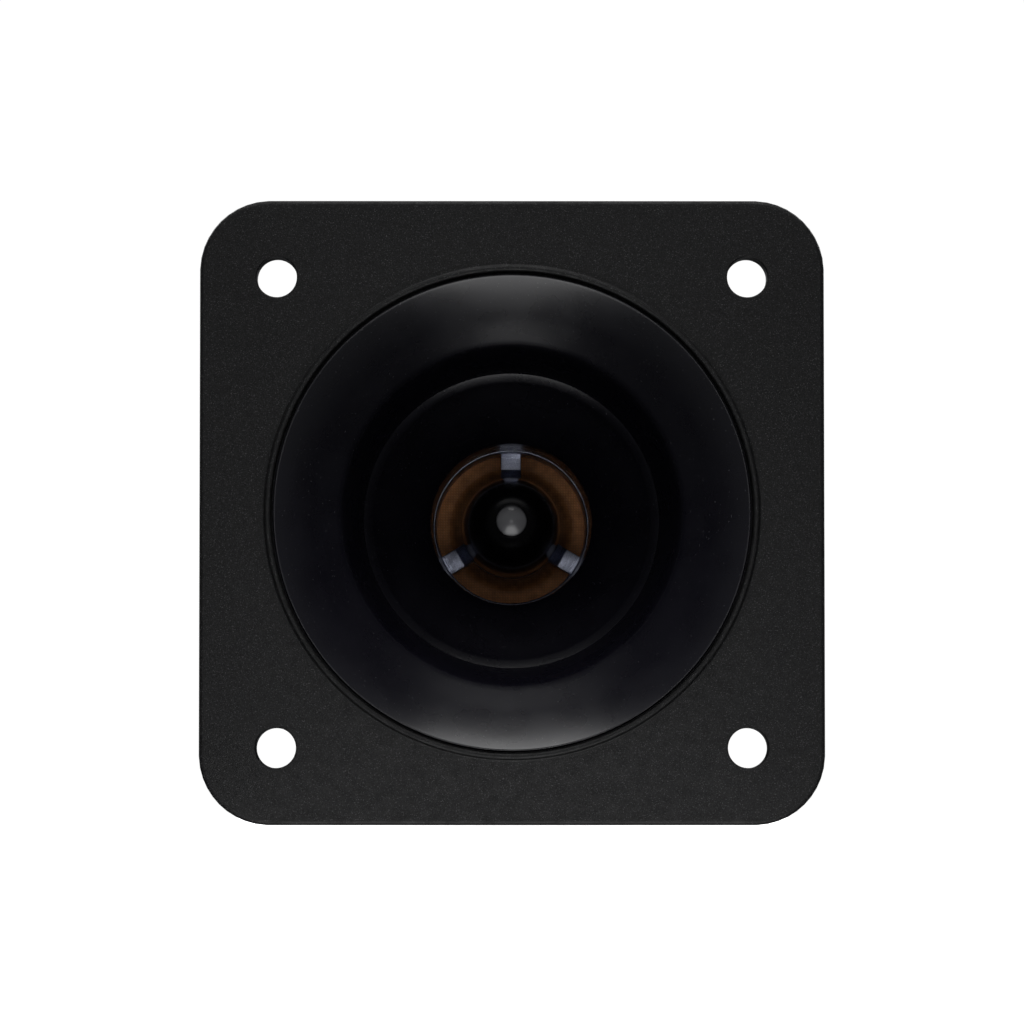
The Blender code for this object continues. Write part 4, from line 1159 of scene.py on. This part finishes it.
# %% Grip ribs on the buttons
def make_rib_row():
    """Sets bevelled ribs in a row along Y on whatever mesh it is given."""
    tree, given = new_tree(
        "rib_row", ("Button", "Geometry"), ("Rib", "Object"), ("Count", "Int"),
        ("Start", "Vector"), ("Step", "Vector"), ("Finish", "Material"),
    )
    inputs = {"Count": given["Count"], "Start Location": given["Start"], "Offset": given["Step"]}
    row = add_node(tree, "GeometryNodeMeshLine", inputs).outputs[0]
    rib = add_node(tree, "GeometryNodeObjectInfo", {"Object": given["Rib"]}).outputs["Geometry"]
    inputs = {"Points": row, "Instance": rib}
    copies = add_node(tree, "GeometryNodeInstanceOnPoints", inputs).outputs[0]
    both = add_node(tree, "GeometryNodeJoinGeometry")
    tree.links.new(copies, both.inputs[0])
    tree.links.new(given["Button"], both.inputs[0])
    end_tree(tree, both.outputs[0], given["Finish"])
    return tree


RIB_ROW = make_rib_row()
TERMINALS = (("red", LEAD_X), ("black", -LEAD_X))


def make_button(colour, x):
    slot = colour + "_plastic"
    low, high = (x - 3.1, 42.9, -39.35), (x + 3.1, 47.3, -33.2)
    button = block(colour + "_push_button", low, high, slot, 0.5)
    rib = block("rib", (x - 2.3, 4.82, -39.6), (x + 2.3, 5.18, -39.2), edge=0.1)  # round Y = 0
    start = (0, y_of(43.7 * MM), 0)
    step = (0, 0.7 * MM, 0)
    run_tree(button, RIB_ROW, Rib=rib, Count=5, Start=start, Step=step, Finish=FINISHES[slot])
    bpy.data.objects.remove(rib)
    fit(button, colour + "_push", slot, colour + "_button")


for colour, x in TERMINALS:
    make_button(colour, x)


# %% Springs under the buttons
def make_spring(colour, x):
    """A coil that stands on the button and reaches up to the pocket's roof; it rides on the housing.
    """
    low = -32.68
    high = -28.92
    spring = wound(
        colour + "_coil_spring", "spring_steel", (x * MM, y_of(45.1 * MM), low * MM),
        Radius=1.6 * MM, Wire=0.21 * MM, Turns=4.0, Length=(high - low) * MM, Steps=40, Sides=12,
        Lean=0.0,
    )
    fit(spring, "housing", "spring_steel", colour + "_button_spring")
    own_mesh(spring)


for colour, x in TERMINALS:
    make_spring(colour, x)


# %% [markdown]
# ## Contacts and leads
# Each contact is a strip of brass sheet, bent once, with a curled lip that holds the wire. Its tag
# runs back over the button to an insulated lead, which passes through the horn's base, bends down
# into the frame's channel and ends beside the diaphragm's rim.

# %% Contacts and leads
def make_contact(colour, x):
    outer = [(34.6, 41.2), (27.5, 41.2), (27.05, 41.35), (26.92, 41.8), (26.92, 49.4)]
    inner = [(27.3, 49.4), (27.3, 41.95), (27.4, 41.7), (27.7, 41.6), (34.6, 41.6)]
    strip = plate(colour + "_contact_strip", outer + inner, 3.2, 180, "brass", 0.05, across=-x)
    fit(settle(strip), "housing", "brass", colour + "_contact")


def make_lead(colour, x):
    name = colour + "_wire"
    slot = colour + "_insulation"
    bend = 1.3
    floor = 57.25
    path = [(x, 49.7, LEAD_Z), (x, 52.5, LEAD_Z), (x, 55.0, LEAD_Z)]
    for i in range(9):
        angle = math.radians(90 * i / 8)
        depth = floor - bend + bend * math.sin(angle)
        path.append((x, depth, LEAD_Z + bend - bend * math.cos(angle)))
    path += [(x, floor, -24.0), (x, floor, -21.6)]
    curve = bpy.data.curves.new(name, "CURVE")
    curve.dimensions = "3D"
    curve.bevel_depth = 0.58 * MM
    curve.bevel_resolution = 5
    curve.use_fill_caps = True
    spline = curve.splines.new("POLY")
    spline.points.add(len(path) - 1)
    for point, (px, depth, pz) in zip(spline.points, path):
        point.co = (px * MM, y_of(depth * MM), pz * MM, 1)
    drawn = new_piece(name + "_path", curve)
    graph = bpy.context.evaluated_depsgraph_get()
    piece = new_piece(name, bpy.data.meshes.new_from_object(drawn.evaluated_get(graph)))
    bpy.data.objects.remove(drawn)
    piece.data.materials.clear()
    piece.data.materials.append(FINISHES[slot])
    fit(settle(piece), "housing", slot, colour + "_lead")


for make in (make_contact, make_lead):
    for colour, x in TERMINALS:
        make(colour, x)
